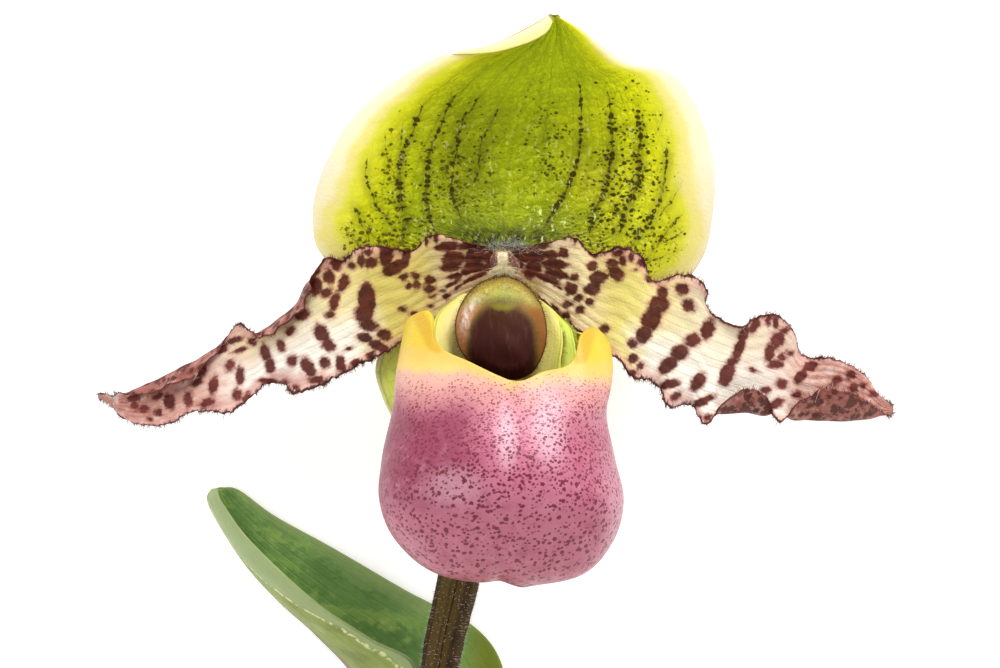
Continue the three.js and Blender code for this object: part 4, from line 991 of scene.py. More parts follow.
# Rings from below the rim to the toe: drawn y at the back and at the front, drawn x of the left
# and of the right side, height of the back and of the front.
POUCH_RINGS = (
    (-8.0, -14.8, -10.9, 10.8, 0.0, 15.6),
    (-13.0, -18.0, -11.2, 10.2, -0.9, 17.3),
    (-18.5, -21.4, -12.3, 11.0, -1.4, 18.3),
    (-23.2, -24.6, -12.6, 11.9, -0.9, 18.0),
    (-27.8, -28.2, -10.8, 10.9, 1.2, 15.8),
    (-31.2, -31.6, -6.5, 7.8, 4.6, 12.6),
)
POUCH_TOE = (1.8, -32.8, 8.7)
POUCH_SQUARENESS = 0.86
POUCH_THICKNESS = 0.62
POUCH_RIM_STEPS = 7
POUCH_STEPS, POUCH_SIDES = 150, 260
POUCH_END = 0.996        # where the last ring is: the toe itself would be a single point
# Where the yellow of the rim ends: drawn x and y.
GOLD_LINE = np.array((
    (-11.0, -9.5), (-9.5, -9.8), (-7.5, -9.9), (-5.5, -9.9), (-3.5, -10.4), (-1.5, -11.2), (0.5, -12.2),
    (2.5, -11.8), (4.5, -11.2), (6.5, -11.1), (8.5, -11.3), (10.5, -11.5),
))
# Pale gleams on the front: drawn x, y, half width, half height and strength.
POUCH_GLEAMS = (
    (0.2, -17.8, 1.2, 3.4, 0.62), (4.4, -17.2, 1.8, 3.7, 0.60), (-5.2, -22.6, 3.4, 2.2, 0.34),
)


def round_power(value):
    return np.sign(value) * np.abs(value) ** POUCH_SQUARENESS


def pouch_ring(ring, turn):
    """A squarish ring round the pouch. It starts at the back and goes round by the left side."""
    back_y, front_y, left_x, right_x, back, front = ring
    side = round_power(np.sin(2 * math.pi * turn))
    forward = -round_power(np.cos(2 * math.pi * turn))
    x = (left_x + right_x) / 2 - side * (right_x - left_x) / 2
    y = back_y + (front_y - back_y) * (1 + forward) / 2
    return at(x, y, back + (front - back) * (1 + forward) / 2)


def pouch_outside(s, turn):
    """Points of the pouch's outside, from its rim at s = 0 to its toe at s = 1."""
    rim = spline(at(POUCH_RIM[:, 0], POUCH_RIM[:, 1], POUCH_RIM[:, 2]), turn, closed=True)
    toe = np.broadcast_to(at(*POUCH_TOE), rim.shape)
    sections = [rim] + [pouch_ring(ring, turn) for ring in POUCH_RINGS] + [toe]
    return spline(np.array(sections), s)


def make_pouch():
    s, turn = np.linspace(0, POUCH_END, POUCH_STEPS), np.arange(POUCH_SIDES) / POUCH_SIDES
    net = pouch_outside(s, turn)
    outward = net_normals(net, closed=True)
    if (outward * (net - net.mean(axis=(0, 1)))).sum() < 0:
        outward = -outward
    x, y = drawn(net)
    # a shallow seam down the front, a cleft at the toe and a gentle swell
    facing = step(net[..., 2], 4, 10)
    seam = 0.06 * hump(x, 0.2 + 0.02 * (y + 20), 0.6) * facing * step(y, -31, -26)
    cleft = 0.35 * hump(x, -0.6, 1.1) * hump(y, -32.6, 1.3)
    swell = 0.10 * waves(net, 10, 3.2, 11)
    net = net + outward * (swell * step(s, 0.05, 0.3)[:, None] - seam - cleft)[..., None]
    thick = POUCH_THICKNESS * (0.75 + 0.25 * step(s, 0.0, 0.1))[:, None, None]
    inner = net - outward * thick
    # the rim is rounded from the outside over to the inside
    away = unit(net[:1] - net[1:2])
    mid, half = (net[:1] + inner[:1]) / 2, (net[:1] - inner[:1]) / 2
    reach = np.linalg.norm(half, axis=-1, keepdims=True)
    angles = (np.arange(1, POUCH_RIM_STEPS) * math.pi / POUCH_RIM_STEPS)[:, None, None]
    lip = mid + half * np.cos(angles) + away * reach * np.sin(angles)
    whole = np.concatenate((net[::-1], lip, inner))
    depth = np.concatenate((s[::-1], np.zeros(POUCH_RIM_STEPS - 1), s))
    rim = np.linspace(0.1, 0.9, POUCH_RIM_STEPS - 1)
    inside = np.concatenate((np.zeros(len(s)), rim, np.ones(len(s))))
    # a golden streak of painted shade in the fold of each ear, and how far above the end of the yellow
    # each point is
    x, y = drawn(whole)
    left = hump((x + 7.7) + 0.5 * (y + 7.4), 0, 0.85) * step(y, -9.9, -8.6) * (x < 0)
    right = hump((x - 8.0) - 0.3 * (y + 8.6), 0, 0.8) * step(y, -11.0, -9.8) * (x > 0)
    gold = y - np.interp(x, GOLD_LINE[:, 0], GOLD_LINE[:, 1])
    fields = {"ear": left + right, "gold": gold, "s": by_row(depth, whole),
              "inside": by_row(inside, whole)}
    rings("lip_pouch_skin", whole, fields, pouch_material(), "lip_pouch")


def pouch_material():
    p = Paint("lip_pouch_skin")
    place, s, inside = p.place(), p.field("s"), p.field("inside")
    x, y, z = (p.part(place, axis) for axis in range(3))
    wander = p.noise(place, 0.3, 3)
    level = y + (wander - 0.5) * 2.2
    fall = p.share(level, -8.5, -32.5)
    p.skin = p.ramp(fall, (0.0, "f6dc44"), (0.08, "f4cf6c"), (0.14, "dfac98"), (0.21, "d2938e"),
                    (0.31, "cb8090"), (0.42, "c06a84"), (0.6, "c07088"), (0.8, "bc6a7e"),
                    (1.0, "b26470"))
    # deepest on the upper left
    deep = p.step(x, -0.5, -5.5) * p.between(level, -12.5, -16.5, -21.0, -27.0)
    p.coat("8a2a4c", deep, 0.95)
    ripe = p.step(x, 5.5, 9.0) * p.between(level, -15.0, -20.0, -24.0, -30.0)
    p.coat("a84a66", ripe, 0.5)
    # the rim is yellow all the way round, and thinnest in the middle of the front
    gold = p.field("gold") + p.wobble(0.8, place, 0.9, 3)
    p.coat(p.mix(p.step(gold, 0.2, 2.0), "e2bc54", "dec016"), p.step(gold, -1.7, 0.5))
    # painted shade: a golden streak in the fold inside each ear
    golden = p.step(p.field("ear"), 0.15, 0.8) * p.step(z, 3.0, 6.0)
    p.coat("cfa404", golden, 0.85)
    mottle = p.noise(place, 0.7, 4, 0.6)
    low = p.step(fall, 0.25, 0.5)
    p.coat("cd8294", p.step(mottle, 0.5, 0.72), low, 0.45)
    p.coat("9c3c58", p.step(mottle, 0.5, 0.3), low, 0.42)
    # painted rim light: paler pink towards the edges, on the right side only
    side = p.step(abs(x + 0.3), 8.8, 12.0)
    p.coat("dcb0bc", side, low, p.step(x, -6, 6, 0.0, 0.4))
    # the window's pale reflections: two upright patches above and a bloom low on the left
    for middle_x, middle_y, half_x, half_y, strong in POUCH_GLEAMS:
        gleam = p.reach((x - middle_x) / half_x, (y - middle_y) / half_y)
        p.coat("eec6d0", p.step(gleam, 1.4, 0.2), strong)
    # fine dots high up, larger and wider apart lower down
    bent = p.add_places(place, p.wobble(0.35, place, 3.0, 2))
    bent = p.stretch(bent, (0.85, 1.0, 1.0))
    dots = None
    for cell_size, channel, strong, (small, large), (near, far) in (
            (3.6, 0, 0.75, (0.18, 0.40), (-10.0, -24.0)), (2.6, 1, 0.90, (0.18, 0.41), (-12.0, -28.0)),
            (1.6, 2, 0.94, (0.16, 0.36), (-19.0, -40.0)), (2.3, 0, 0.91, (0.10, 0.36), (-15.0, -40.0))):
        cell = p.cells(bent, cell_size)
        pick = p.lot(bent, cell_size, channel)
        reach = p.step(level, near, near - 3.0) * p.step(level, far, far + 8.0)
        size = p.step(pick, 0.0, 0.75, small, large) * reach
        dot = p.step(size - cell, -0.05, 0.06) * p.step(size, 0.04, 0.14)
        dot = dot * strong
        dots = dot if dots is None else p.most(dots, dot)
    tint = p.mix(p.step(level, -11, -18), "84242a", "6c0622")
    p.coat(tint, dots, p.step(inside, 0.5, 0.2))
    # the inside is pale yellow, painted lighter as painted light in the dim hollow, and brighter still to
    # the right of the shield
    within = p.ramp(s, (0.0, "f6dc3e"), (0.06, "ecc81e"), (0.14, "e8d470"), (0.5, "e4d890"),
                    (1.0, "d8b0a0"))
    bright = p.step(x, 3.5, 5.0) * p.step(s, 0.45, 0.3)
    within = p.mix(bright, within, "e2e468")
    p.coat(within, p.step(inside, 0.3, 0.7))
    grain = p.noise(place, 2.4, 3, 0.55)
    rough = p.step(mottle, 0.3, 0.7, 0.42, 0.34)
    gloss = dict(TISSUE, Specular_IOR_Level=0.5, Specular_Tint=(1.0, 0.66, 0.74, 1.0))
    return p.finish(rough, grain, 0.00012, 0.5, **gloss)


# The side lobes of the pouch fold in beside the shield: rows from the heart to the front, each
# with drawn x, y and height of its outer edge, its middle and its inner edge.
LEFT_LOBE = (
    ((-4.7, -3.7, 0.6), (-3.6, -3.4, 1.3), (-2.4, -3.1, 1.4)),
    ((-6.6, -5.3, 2.0), (-5.5, -5.3, 2.6), (-3.8, -5.0, 2.2)),
    ((-7.3, -7.0, 4.2), (-6.0, -7.2, 4.0), (-4.2, -7.3, 3.0)),
    ((-7.4, -8.9, 6.0), (-6.0, -9.4, 5.2), (-3.9, -9.8, 3.9)),
    ((-7.6, -11.2, 7.0), (-5.6, -12.2, 6.0), (-2.8, -13.0, 4.6)),
)
RIGHT_LOBE = (
    ((5.4, -6.0, 2.4), (4.6, -5.0, 2.4), (2.4, -3.1, 1.4)),
    ((5.7, -7.0, 3.4), (4.9, -6.8, 3.3), (3.4, -5.6, 2.3)),
    ((5.8, -8.4, 4.4), (5.0, -8.4, 4.0), (3.6, -7.6, 3.1)),
    ((5.6, -10.2, 5.4), (4.6, -10.4, 4.8), (3.0, -9.8, 3.9)),
    ((5.5, -12.4, 6.2), (4.2, -12.6, 5.4), (2.0, -12.8, 4.6)),
)
OUTER_LOBE = (
    ((5.7, -5.9, 2.4), (5.3, -5.9, 2.4), (4.8, -5.8, 2.0)),
    ((6.6, -6.9, 3.2), (5.9, -7.1, 3.4), (5.0, -7.3, 2.6)),
    ((7.0, -8.3, 4.4), (6.2, -8.7, 4.2), (5.2, -8.8, 3.4)),
    ((7.2, -9.8, 5.2), (6.3, -10.3, 5.0), (5.0, -10.3, 4.2)),
    ((7.4, -11.7, 6.2), (6.2, -12.3, 5.8), (4.8, -12.4, 5.0)),
)
# Each lobe's rows, seed, and pale, deep and line colours.
LOBES = {
    "left_lobe": (LEFT_LOBE, 51, "ead884", "dcd060", "8a8a20"),
    "right_lobe": (RIGHT_LOBE, 52, "e8da78", "dcd85a", "7c8a14"),
    "outer_lobe": (OUTER_LOBE, 53, "d8de62", "c4d040", "9aa834"),
}
LOBE_THICKNESS = 0.4
LOBE_STEPS, LOBE_STEPS_ACROSS = 70, 40


def make_lobe(name, rows, seed, material):
    """Gives the lobe's net and the directions out of its front."""
    u, v, u2, v2 = grid(LOBE_STEPS, LOBE_STEPS_ACROSS)
    points = np.array([[at(*point) for point in row] for row in rows])
    net = loft(points, u, v)
    net[..., 2] += 0.05 * waves(net, 8, 0.9, seed) - 0.006 * np.cos(v2 * math.pi * 6)
    thickness = LOBE_THICKNESS * (1 - 0.6 * v2 ** 4)
    return net, sheet(name, net, thickness, {"u": u2, "v": v2}, material)


def lobe_material(name, pale, deep, line):
    p = Paint(name)
    place, u, v = p.place(), p.field("u"), p.field("v")
    wander = p.noise(place, 0.9, 3)
    p.skin = p.mix(p.step(v + (wander - 0.5) * 0.6, -0.9, 0.2), deep, pale)
    veins = p.noise(p.join(v * 4.0, u * 3.0), 1.0, 4, 0.6)
    p.coat(deep, p.step(veins, 0.5, 0.68), 0.35)
    p.coat(line, p.step(abs(v + 0.78), 0.12, 0.02), 0.5)
    grain = p.noise(place, 3.0, 4, 0.6)
    return p.finish(p.step(grain, 0.3, 0.7, 0.5, 0.38), grain, 0.00015, 0.5, **TISSUE)


# ---- column, shield, anthers and stigma --------------------------------------------------------

COLUMN_MIDDLE = -0.6
COLUMN_BACK, COLUMN_FRONT = -2.6, 2.7
# Radius and height, from the column's back to its front.
COLUMN_PROFILE = (
    (0.02, COLUMN_BACK), (1.2, COLUMN_BACK), (1.25, -1.8), (1.15, -0.2), (1.35, 0.9), (1.5, 1.6),
    (1.3, 2.2), (0.8, 2.6), (0.02, COLUMN_FRONT),
)
COLUMN_SIDES, COLUMN_STEPS = 56, 60
# Drawn x and y round the shield.
SHIELD_OUTLINE = np.array((
    (-0.4, -1.6), (-2.6, -2.3), (-4.2, -4.0), (-5.0, -6.3), (-4.6, -8.8), (-3.0, -10.7), (-0.9, -11.7),
    (1.0, -12.0), (2.8, -11.2), (3.9, -9.2), (4.2, -7.0), (3.7, -4.6), (2.4, -2.7), (0.9, -1.8),
))
SHIELD_MIDDLE = np.array((-0.2, -6.8))
SHIELD_TOP_HEIGHT, SHIELD_SLOPE, SHIELD_START = 3.2, 0.4, -1.6
SHIELD_DOME, SHIELD_THICKNESS = 1.5, 0.9
SHIELD_STEPS, SHIELD_BACK_STEPS, SHIELD_SIDES = 60, 30, 150


def shield_net(share, turn, front):
    """Points on the shield's front or back, at a share of the way from its middle to its edge."""
    edge = spline(SHIELD_OUTLINE, turn, closed=True)
    flat = SHIELD_MIDDLE + (edge - SHIELD_MIDDLE) * share[:, None, None]
    thickness = SHIELD_THICKNESS * (1 - share ** 4 / 2) if front else 0 * share
    lift = SHIELD_DOME * (1 - share ** 2) + thickness
    if front:
        lift = lift + 0.12 * hump(share, 0.80, 0.12)
    x, y = flat[..., 0], flat[..., 1]
    return at(x, y, SHIELD_TOP_HEIGHT + SHIELD_SLOPE * (SHIELD_START - y) + lift[:, None])


def make_shield():
    """Gives the points of the shield's front."""
    turn = np.arange(SHIELD_SIDES) / SHIELD_SIDES
    front = shield_net(np.linspace(0.01, 1, SHIELD_STEPS), turn, True)
    back = shield_net(np.linspace(0.99, 0.01, SHIELD_BACK_STEPS), turn, False)
    net = np.concatenate((front, back))
    net[..., 2] += 0.05 * waves(net, 8, 0.9, 21)
    share = np.concatenate((np.linspace(0, 1, SHIELD_STEPS), np.linspace(1, 0, SHIELD_BACK_STEPS)))
    fields = {"share": by_row(share, net)}
    rings("staminode_shield_skin", net, fields, shield_material(), "staminode_shield")
    return front


def shield_material():
    p = Paint("staminode_shield_skin")
    place, share = p.place(), p.field("share")
    x, y = p.part(place, 0), p.part(place, 1)
    across = x + 0.25
    aside = abs(across)
    wander = p.noise(place, 0.9, 3)
    fall = p.share(y + (wander - 0.5) * 0.6, -1.6, -6.4)
    p.skin = p.ramp(fall, (0.0, "a08a2c"), (0.25, "b0a03c"), (0.5, "c0b45a"), (0.7, "b8b452"),
                    (1.0, "8a8a2c"))
    sugar = p.noise(place, 4.5, 3, 0.7)
    p.coat("e0d898", p.step(sugar, 0.52, 0.64), 0.55)
    p.coat("6e6412", p.step(sugar, 0.46, 0.34), 0.45)
    # a smooth green oval above the dark middle
    oval = p.reach((x + 0.1) / 1.5, y + 3.9)
    p.coat("b8bf5c", p.step(oval, 1.25, 0.7), 0.9)
    # the dark middle, rounded above and open below
    up = p.most((y + 8.3) / 4.05, 0.0)
    core = p.reach(across / 3.45, up) + (wander - 0.5) * 0.1
    sides = p.step(core, 1.45, 1.0) * p.step(y, -2.6, -4.2)
    p.coat("62481a", sides, 0.8)
    # brown sides, pinkish on the left
    rim = p.step(core, 0.92, 1.16) * p.step(y, -3.8, -5.4)
    rim_skin = p.mix(p.step(x, -3.0, 2.6), "b47a52", "8c5420")
    rim_skin = p.mix(p.step(p.noise(place, 2.2, 3), 0.45, 0.65) * 0.35, rim_skin, "7c4424")
    p.coat(rim_skin, rim, 0.95)
    dark = p.step(core, 1.14, 0.84) * p.step(oval, 0.85, 1.35)
    depths = p.mix(p.step(y, -5.0, -7.5), "381a06", "34100e")
    # vertical streaks of painted sheen over the dark middle
    streak = p.noise(p.join(x * 1.8, y * 0.5), 1.0, 3, 0.6)
    depths = p.mix(p.step(streak, 0.5, 0.72) * 0.35, depths, "643030")
    p.coat(depths, dark)
    # a ragged green stain runs from the oval into the dark middle
    stain = y + 5.2 + p.wobble(1.6, place, 1.6, 4, 0.65)
    stain = p.step(stain, -0.2, 0.9) * p.step(aside, 1.5, 0.3)
    p.coat("74740c", stain, p.step(y, -3.6, -4.8), 0.75)
    # a soft white sheen on the upper left shoulder
    sheen = p.step(abs(share - 0.8), 0.15, 0.02) * p.step(x, -1.3, -2.3)
    sheen = sheen * p.between(y, -8.0, -6.0, -4.2, -3.4)
    sheen = sheen * p.step(p.noise(p.join(x * 2.6, y * 1.2), 1.0, 3, 0.6), 0.35, 0.62)
    p.coat("e2d8cc", sheen, 0.8)
    upper_rim = p.step(share, 0.8, 0.95) * p.step(y, -6.4, -3.6)
    p.coat("805814", upper_rim, 0.7)
    p.coat("40200c", p.step(share, 0.955, 0.99), 0.85)
    grain = p.noise(place, 3.5, 4, 0.6)
    rough = p.step(grain, 0.3, 0.7, 0.46, 0.36) + dark * 0.12
    gloss = dict(TISSUE, Specular_IOR_Level=0.14, Specular_Tint=(1.0, 0.62, 0.45, 1.0))
    return p.finish(rough, grain, 8e-05, 0.5, **gloss)


def lathe_net(profile, sides, steps):
    """Rings about the Z axis through a profile of radius and height."""
    line = spline(profile, np.linspace(0, 1, steps))
    angle = np.arange(sides) * 2 * math.pi / sides
    radius, height = line[:, 0][:, None], line[:, 1][:, None] + 0 * angle
    return np.stack((radius * np.cos(angle), radius * np.sin(angle), height), axis=-1)


def make_column():
    """Gives the column's points."""
    net = lathe_net(COLUMN_PROFILE, COLUMN_SIDES, COLUMN_STEPS)
    net[..., :2] *= (1 + 0.11 * waves(net, 12, 0.45, 31))[..., None]
    net[..., 1] += COLUMN_MIDDLE
    height = np.clip((net[..., 2] - COLUMN_BACK) / (COLUMN_FRONT - COLUMN_BACK), 0, 1)
    rings("column_skin", net, {"height": height}, column_material(), "column")
    return net


def column_material():
    p = Paint("column_skin")
    place = p.place()
    x, y = p.part(place, 0), p.part(place, 1)
    wander = p.noise(place, 1.6, 4)
    p.skin = p.ramp(p.field("height") + (wander - 0.5) * 0.3, (0.0, "b9a86a"), (0.5, "d9c090"),
                    (0.75, "f2dcb4"), (1.0, "f8e8c6"))
    blush = p.step(abs(x + 0.25) + (wander - 0.5) * 0.6, 0.38, 0.62)
    p.coat("5a2420", blush, 0.97)
    p.coat("c8988e", blush, p.step(p.noise(place, 2.6, 3), 0.54, 0.62), 0.6)
    p.coat("c4a070", p.step(p.noise(p.join(x * 5.0, y * 0.6), 1.0, 3), 0.5, 0.7), 0.5)
    spots = p.cells(place, 2.4)
    p.coat("6e2622", p.step(spots, 0.32, 0.18), blush, 0.7)
    grain = p.noise(place, 4.0, 4, 0.6)
    rough = p.step(grain, 0.3, 0.7, 0.65, 0.5)
    return p.finish(rough, grain, 0.0002, 0.6, **TISSUE)


STIGMA_MIDDLE, STIGMA_SIZE = (0.1, -4.0, 2.3), (1.3, 1.2, 0.45)
ANTHER_MIDDLES = {"left_anther": (-2.4, -3.2, 2.5), "right_anther": (2.4, -3.2, 2.5)}
ANTHER_SIZE = (0.75, 0.94, 0.68)
KNOB_STEPS, KNOB_SIDES = 30, 40


def make_knob(node, middle, size, material, *, seed):
    """A rounded, slightly lumpy body with a groove along it."""
    angle = np.linspace(0.02, math.pi - 0.02, KNOB_STEPS)
    turn = np.arange(KNOB_SIDES) * 2 * math.pi / KNOB_SIDES
    net = np.stack((np.outer(np.sin(angle), np.cos(turn)), np.outer(np.sin(angle), np.sin(turn)),
                    np.outer(np.cos(angle), np.ones(KNOB_SIDES))), axis=-1)
    groove = 0.08 * hump(net[..., 0], 0, 0.12) * step(net[..., 2], 0, 0.6)
    lumps = 1 + 0.03 * waves(net, 8, 0.5, seed) - groove
    net = net * lumps[..., None] * np.array(size) + np.array(middle)
    rings(node + "_skin", net, {}, material, node)


def pollen_material(name, pale, deep):
    p = Paint(name)
    place = p.place()
    grain = p.noise(place, 6.0, 4, 0.6)
    p.skin = p.mix(p.step(grain, 0.35, 0.65), pale, deep)
    p.coat(deep, p.step(p.cells(place, 5.0), 0.3, 0.1), 0.4)
    return p.finish(p.step(grain, 0.3, 0.7, 0.6, 0.4), grain, 0.00015, 0.6, **TISSUE)


# ---- ovary, stem and bract ---------------------------------------------------------------------

# Middle lines: drawn x, y and height.
OVARY_LINE = np.array((
    (0, -0.5, -3.2), (0, -0.7, -4.6), (-0.2, -2.6, -6.9), (-0.6, -6.5, -8.4), (-1.4, -12.0, -8.8),
    (-2.5, -18.5, -8.4), (-3.6, -25.0, -7.8),
))
OVARY_RADII = (1.7, 1.75, 2.0, 2.25, 2.3, 2.2, 2.1)
STEM_LINE = np.array((
    (-3.68, -25.4, -7.76), (-4.45, -31.0, -7.5), (-6.4, -40.0, -7.6), (-7.4, -49.0, -8.2),
    (-8.0, -60.0, -9.8), (-8.3, -72.0, -11.8), (-8.4, -84.0, -13.4),
))
STEM_RADII = (2.1, 2.2, 2.0, 1.9, 1.9, 1.95, 2.05)
STALK_SIDES = 64
STALK_CAPS = np.array((0.02, 0.35, 0.7, 0.93))     # rings on a cut end, as shares of its radius
BRACT_FROM, BRACT_TO = 0.98, 0.42
BRACT_WRAP, BRACT_TIP_WRAP, BRACT_TAPER = 2.1, 0.14, 1.6
BRACT_GAP, BRACT_THICKNESS, BRACT_LIFT = 0.45, 0.45, 0.5
OVARY_STEPS, STEM_STEPS, BRACT_STEPS, BRACT_STEPS_ACROSS = 130, 220, 80, 60
FINE_STEPS = 400         # places on the ovary's middle line that the bract is measured from


def round_frame(line, t):
    """The middle line at t, with the directions across it: up and sideways."""
    points = at(line[:, 0], line[:, 1], line[:, 2])
    middle = spline(points, t)
    ahead = unit(np.gradient(middle, axis=0))
    up = unit(np.cross(ahead, (1.0, 0.0, 0.0)))
    return middle, up, np.cross(up, ahead)


def stalk(node, line, radii, steps, material, *, ribs, rib_depth, seed):
    """A ribbed stalk with rounded cut ends. Gives its side's points and the directions out of them."""
    t = np.linspace(0, 1, steps)
    middle, up, side = round_frame(line, t)
    angle = np.arange(STALK_SIDES) * 2 * math.pi / STALK_SIDES
    ridges = np.cos(ribs * angle + 0.6 * t[:, None]) - 1
    radius = spline(radii, t)[:, None] * (1 + rib_depth * ridges)
    across = np.cos(angle)[:, None] * up[:, None] + np.sin(angle)[:, None] * side[:, None]
    body = middle[:, None] + across * radius[..., None]
    body = body + across * (0.03 * waves(body, 12, 0.5, seed))[..., None]
    caps = STALK_CAPS[:, None, None]
    start = middle[0] + (body[0] - middle[0]) * caps
    end = middle[-1] + (body[-1] - middle[-1]) * caps[::-1]
    net = np.concatenate((start, body, end))
    run = np.concatenate((np.zeros(len(start)), t, np.ones(len(end))))
    cap = np.concatenate((1 - STALK_CAPS, np.zeros(steps), 1 - STALK_CAPS[::-1]))
    fields = {"run": by_row(run, net), "cap": by_row(cap, net),
              "turn": np.broadcast_to(angle, net.shape[:2])}
    rings(node + "_skin", net, fields, material, node)
    return body, across


def stem_material(name, dark, brown, green, length):
    p = Paint(name)
    place, run, turn = p.place(), p.field("run"), p.field("turn")
    around = p.join(p.math("COSINE", turn), p.math("SINE", turn), run * length * 0.03)
    streaks = p.noise(p.stretch(around, (3.2, 3.2, 1.0)), 1.0, 4, 0.6)
    fine = p.noise(p.stretch(around, (9.0, 9.0, 2.0)), 1.0, 3, 0.6)
    p.skin = p.ramp(streaks + (fine - 0.5) * 0.35, (0.28, dark), (0.45, brown), (0.62, green))
    p.coat(green, p.step(p.noise(place, 0.35), 0.45, 0.7), 0.4)
    pores = p.cells(place, 3.5)
    p.coat("a89870", p.step(pores, 0.25, 0.1), 0.2)
    # painted shade: darker away from the top, down the sides and underneath
    edge = p.step(p.math("COSINE", turn), 0.8, 0.25)
    p.coat(dark, edge, 0.65)
    p.coat("a9b06c", p.step(p.field("cap"), 0.03, 0.12))
    grain = p.noise(place, 4.0, 4, 0.6)
    rough = p.step(grain, 0.3, 0.7, 0.75, 0.55)
    gloss = dict(TISSUE, Specular_IOR_Level=0.14, Specular_Tint=(1.0, 0.9, 0.7, 1.0))
    return p.finish(rough, grain + streaks, 0.0003, 0.6, **gloss)


def make_bract():
    u, v, u2, v2 = grid(BRACT_STEPS, BRACT_STEPS_ACROSS)
    t = BRACT_FROM + (BRACT_TO - BRACT_FROM) * u
    fine = np.linspace(0, 1, FINE_STEPS)
    middle, up, _ = (spline(values, t) for values in round_frame(OVARY_LINE, fine))
    wrap = BRACT_WRAP * (1 - (1 - BRACT_TIP_WRAP) * u ** BRACT_TAPER)[:, None] * v
    reach = spline(OVARY_RADII, t) + BRACT_GAP + BRACT_THICKNESS / 2 + BRACT_LIFT * u
    net = (middle[:, None] - up[:, None] * (reach[:, None] * np.cos(wrap))[..., None]
           + np.array((1.0, 0, 0)) * (reach[:, None] * np.sin(wrap))[..., None])
    net = net + 0.03 * np.cos(v2 * math.pi * 8)[..., None] * net_normals(net)
    thickness = BRACT_THICKNESS * (1 - 0.6 * v2 ** 4)
    fields = {"u": u2, "v": v2}
    sheet("floral_bract_skin", net, thickness, fields, bract_material(), "floral_bract")


def bract_material():
    p = Paint("floral_bract_skin")
    place, u, v = p.place(), p.field("u"), p.field("v")
    p.skin = p.ramp(u, (0.0, "6a5a36"), (0.3, "7f8a44"), (1.0, "8f9c50"))
    lines = p.pingpong(v * 7.0)
    p.coat("5c6a2c", p.step(lines, 0.12, 0.0), 0.4)
    p.coat("5a2c30", p.step(p.cells(place, 1.7), 0.3, 0.15), 0.5)
    grain = p.noise(place, 3.0, 4, 0.6)
    return p.finish(p.step(grain, 0.3, 0.7, 0.65, 0.45), grain, 0.0002, 0.6, **TISSUE)


# ---- leaf --------------------------------------------------------------------------------------

# Rows from the cut base to the tip: drawn x, y of the keel, of the near margin and of the far
# margin, then the height above the floor of the near margin and of the far margin.
LEAF_ROWS = np.array((
    (-8.4, -84.0, -12.0, -84.0, -4.8, -84.0, 5.0, 5.0),
    (-8.5, -75.4, -12.2, -75.2, -3.9, -76.0, 6.2, 4.0),
    (-8.9, -66.6, -12.2, -66.0, -2.0, -67.6, 7.4, 2.6),
    (-9.8, -58.0, -11.8, -56.6, -0.2, -59.2, 8.2, 1.6),
    (-11.6, -49.4, -11.0, -47.6, 0.4, -50.6, 8.4, 1.0),
    (-14.4, -42.1, -9.0, -40.8, 0.1, -42.0, 7.8, 0.8),
    (-18.6, -37.3, -13.2, -38.05, -2.7, -37.0, 7.4, 0.8),
    (-22.3, -34.0, -17.9, -35.05, -9.8, -33.1, 6.8, 0.8),
    (-25.5, -30.6, -22.3, -31.25, -17.2, -28.8, 6.0, 0.8),
    (-28.0, -27.0, -25.9, -27.7, -23.0, -25.6, 4.8, 0.7),
    (-29.6, -24.1, -28.3, -24.3, -26.6, -23.0, 3.2, 0.6),
    (-29.3, -22.9, -28.8, -22.8, -28.4, -22.7, 2.2, 0.5),
))
KEEL_HEIGHT = 0.45
LEAF_THICKNESS = 0.9
LEAF_CLEARANCE = 0.05    # how far the leaf stays above the floor
LEAF_STEPS, LEAF_STEPS_ACROSS = 260, 42
# How far each half has gone outwards and upwards halfway to its margin, from the base to the tip.
NEAR_BEND_OUT = (1.0, 0.9, 0.5, 0.1, 0.1, 0.2, 0.4)
NEAR_BEND_UP = (0.1, 0.15, 0.4, 0.7, 0.7, 0.6, 0.5)
FAR_BEND_OUT = (1.0, 0.8, 0.6, 0.5, 0.5, 0.5, 0.5)
FAR_BEND_UP = (0.1, 0.1, 0.2, 0.2, 0.2, 0.3, 0.4)


def leaf_half(u, across, keel, margin, bend_out, bend_up):
    """Half a leaf, from the keel at across = 0 to the margin at across = 1."""
    out, up = spline(bend_out, u)[:, None], spline(bend_up, u)[:, None]
    bend = keel + (margin - keel) * np.concatenate((out, out, up), axis=1)
    w = across[None, :, None]
    return keel[:, None] * (1 - w) ** 2 + bend[:, None] * 2 * w * (1 - w) + margin[:, None] * w ** 2


def make_leaf():
    u, w = np.linspace(0, 1, LEAF_STEPS), np.linspace(0, 1, LEAF_STEPS_ACROSS)
    rows = LEAF_ROWS
    keel = spline(at(rows[:, 0], rows[:, 1], FLOOR + KEEL_HEIGHT), u)
    near = spline(at(rows[:, 2], rows[:, 3], FLOOR + rows[:, 6]), u)
    far = spline(at(rows[:, 4], rows[:, 5], FLOOR + rows[:, 7]), u)
    near_half = leaf_half(u, w[:0:-1], keel, near, NEAR_BEND_OUT, NEAR_BEND_UP)
    far_half = leaf_half(u, w, keel, far, FAR_BEND_OUT, FAR_BEND_UP)
    net = np.concatenate((near_half, far_half), axis=1)
    v = np.concatenate((-w[:0:-1], w))
    u2, v2 = np.meshgrid(u, v, indexing="ij")
    body = np.sin(math.pi * u2) ** 0.5
    normals = net_normals(net)
    net = net + normals * (0.05 * waves(net, 12, 2.0, 41) * body * np.abs(v2))[..., None]
    thickness = LEAF_THICKNESS * (1 - 0.6 * v2 ** 2) * (1 - 0.8 * u2 ** 4)
    net[..., 2] = np.maximum(net[..., 2], FLOOR + LEAF_CLEARANCE + thickness / 2)
    fields = {"u": u2, "v": v2}
    sheet("leaf_skin", net, thickness, fields, leaf_material(), "leaf")


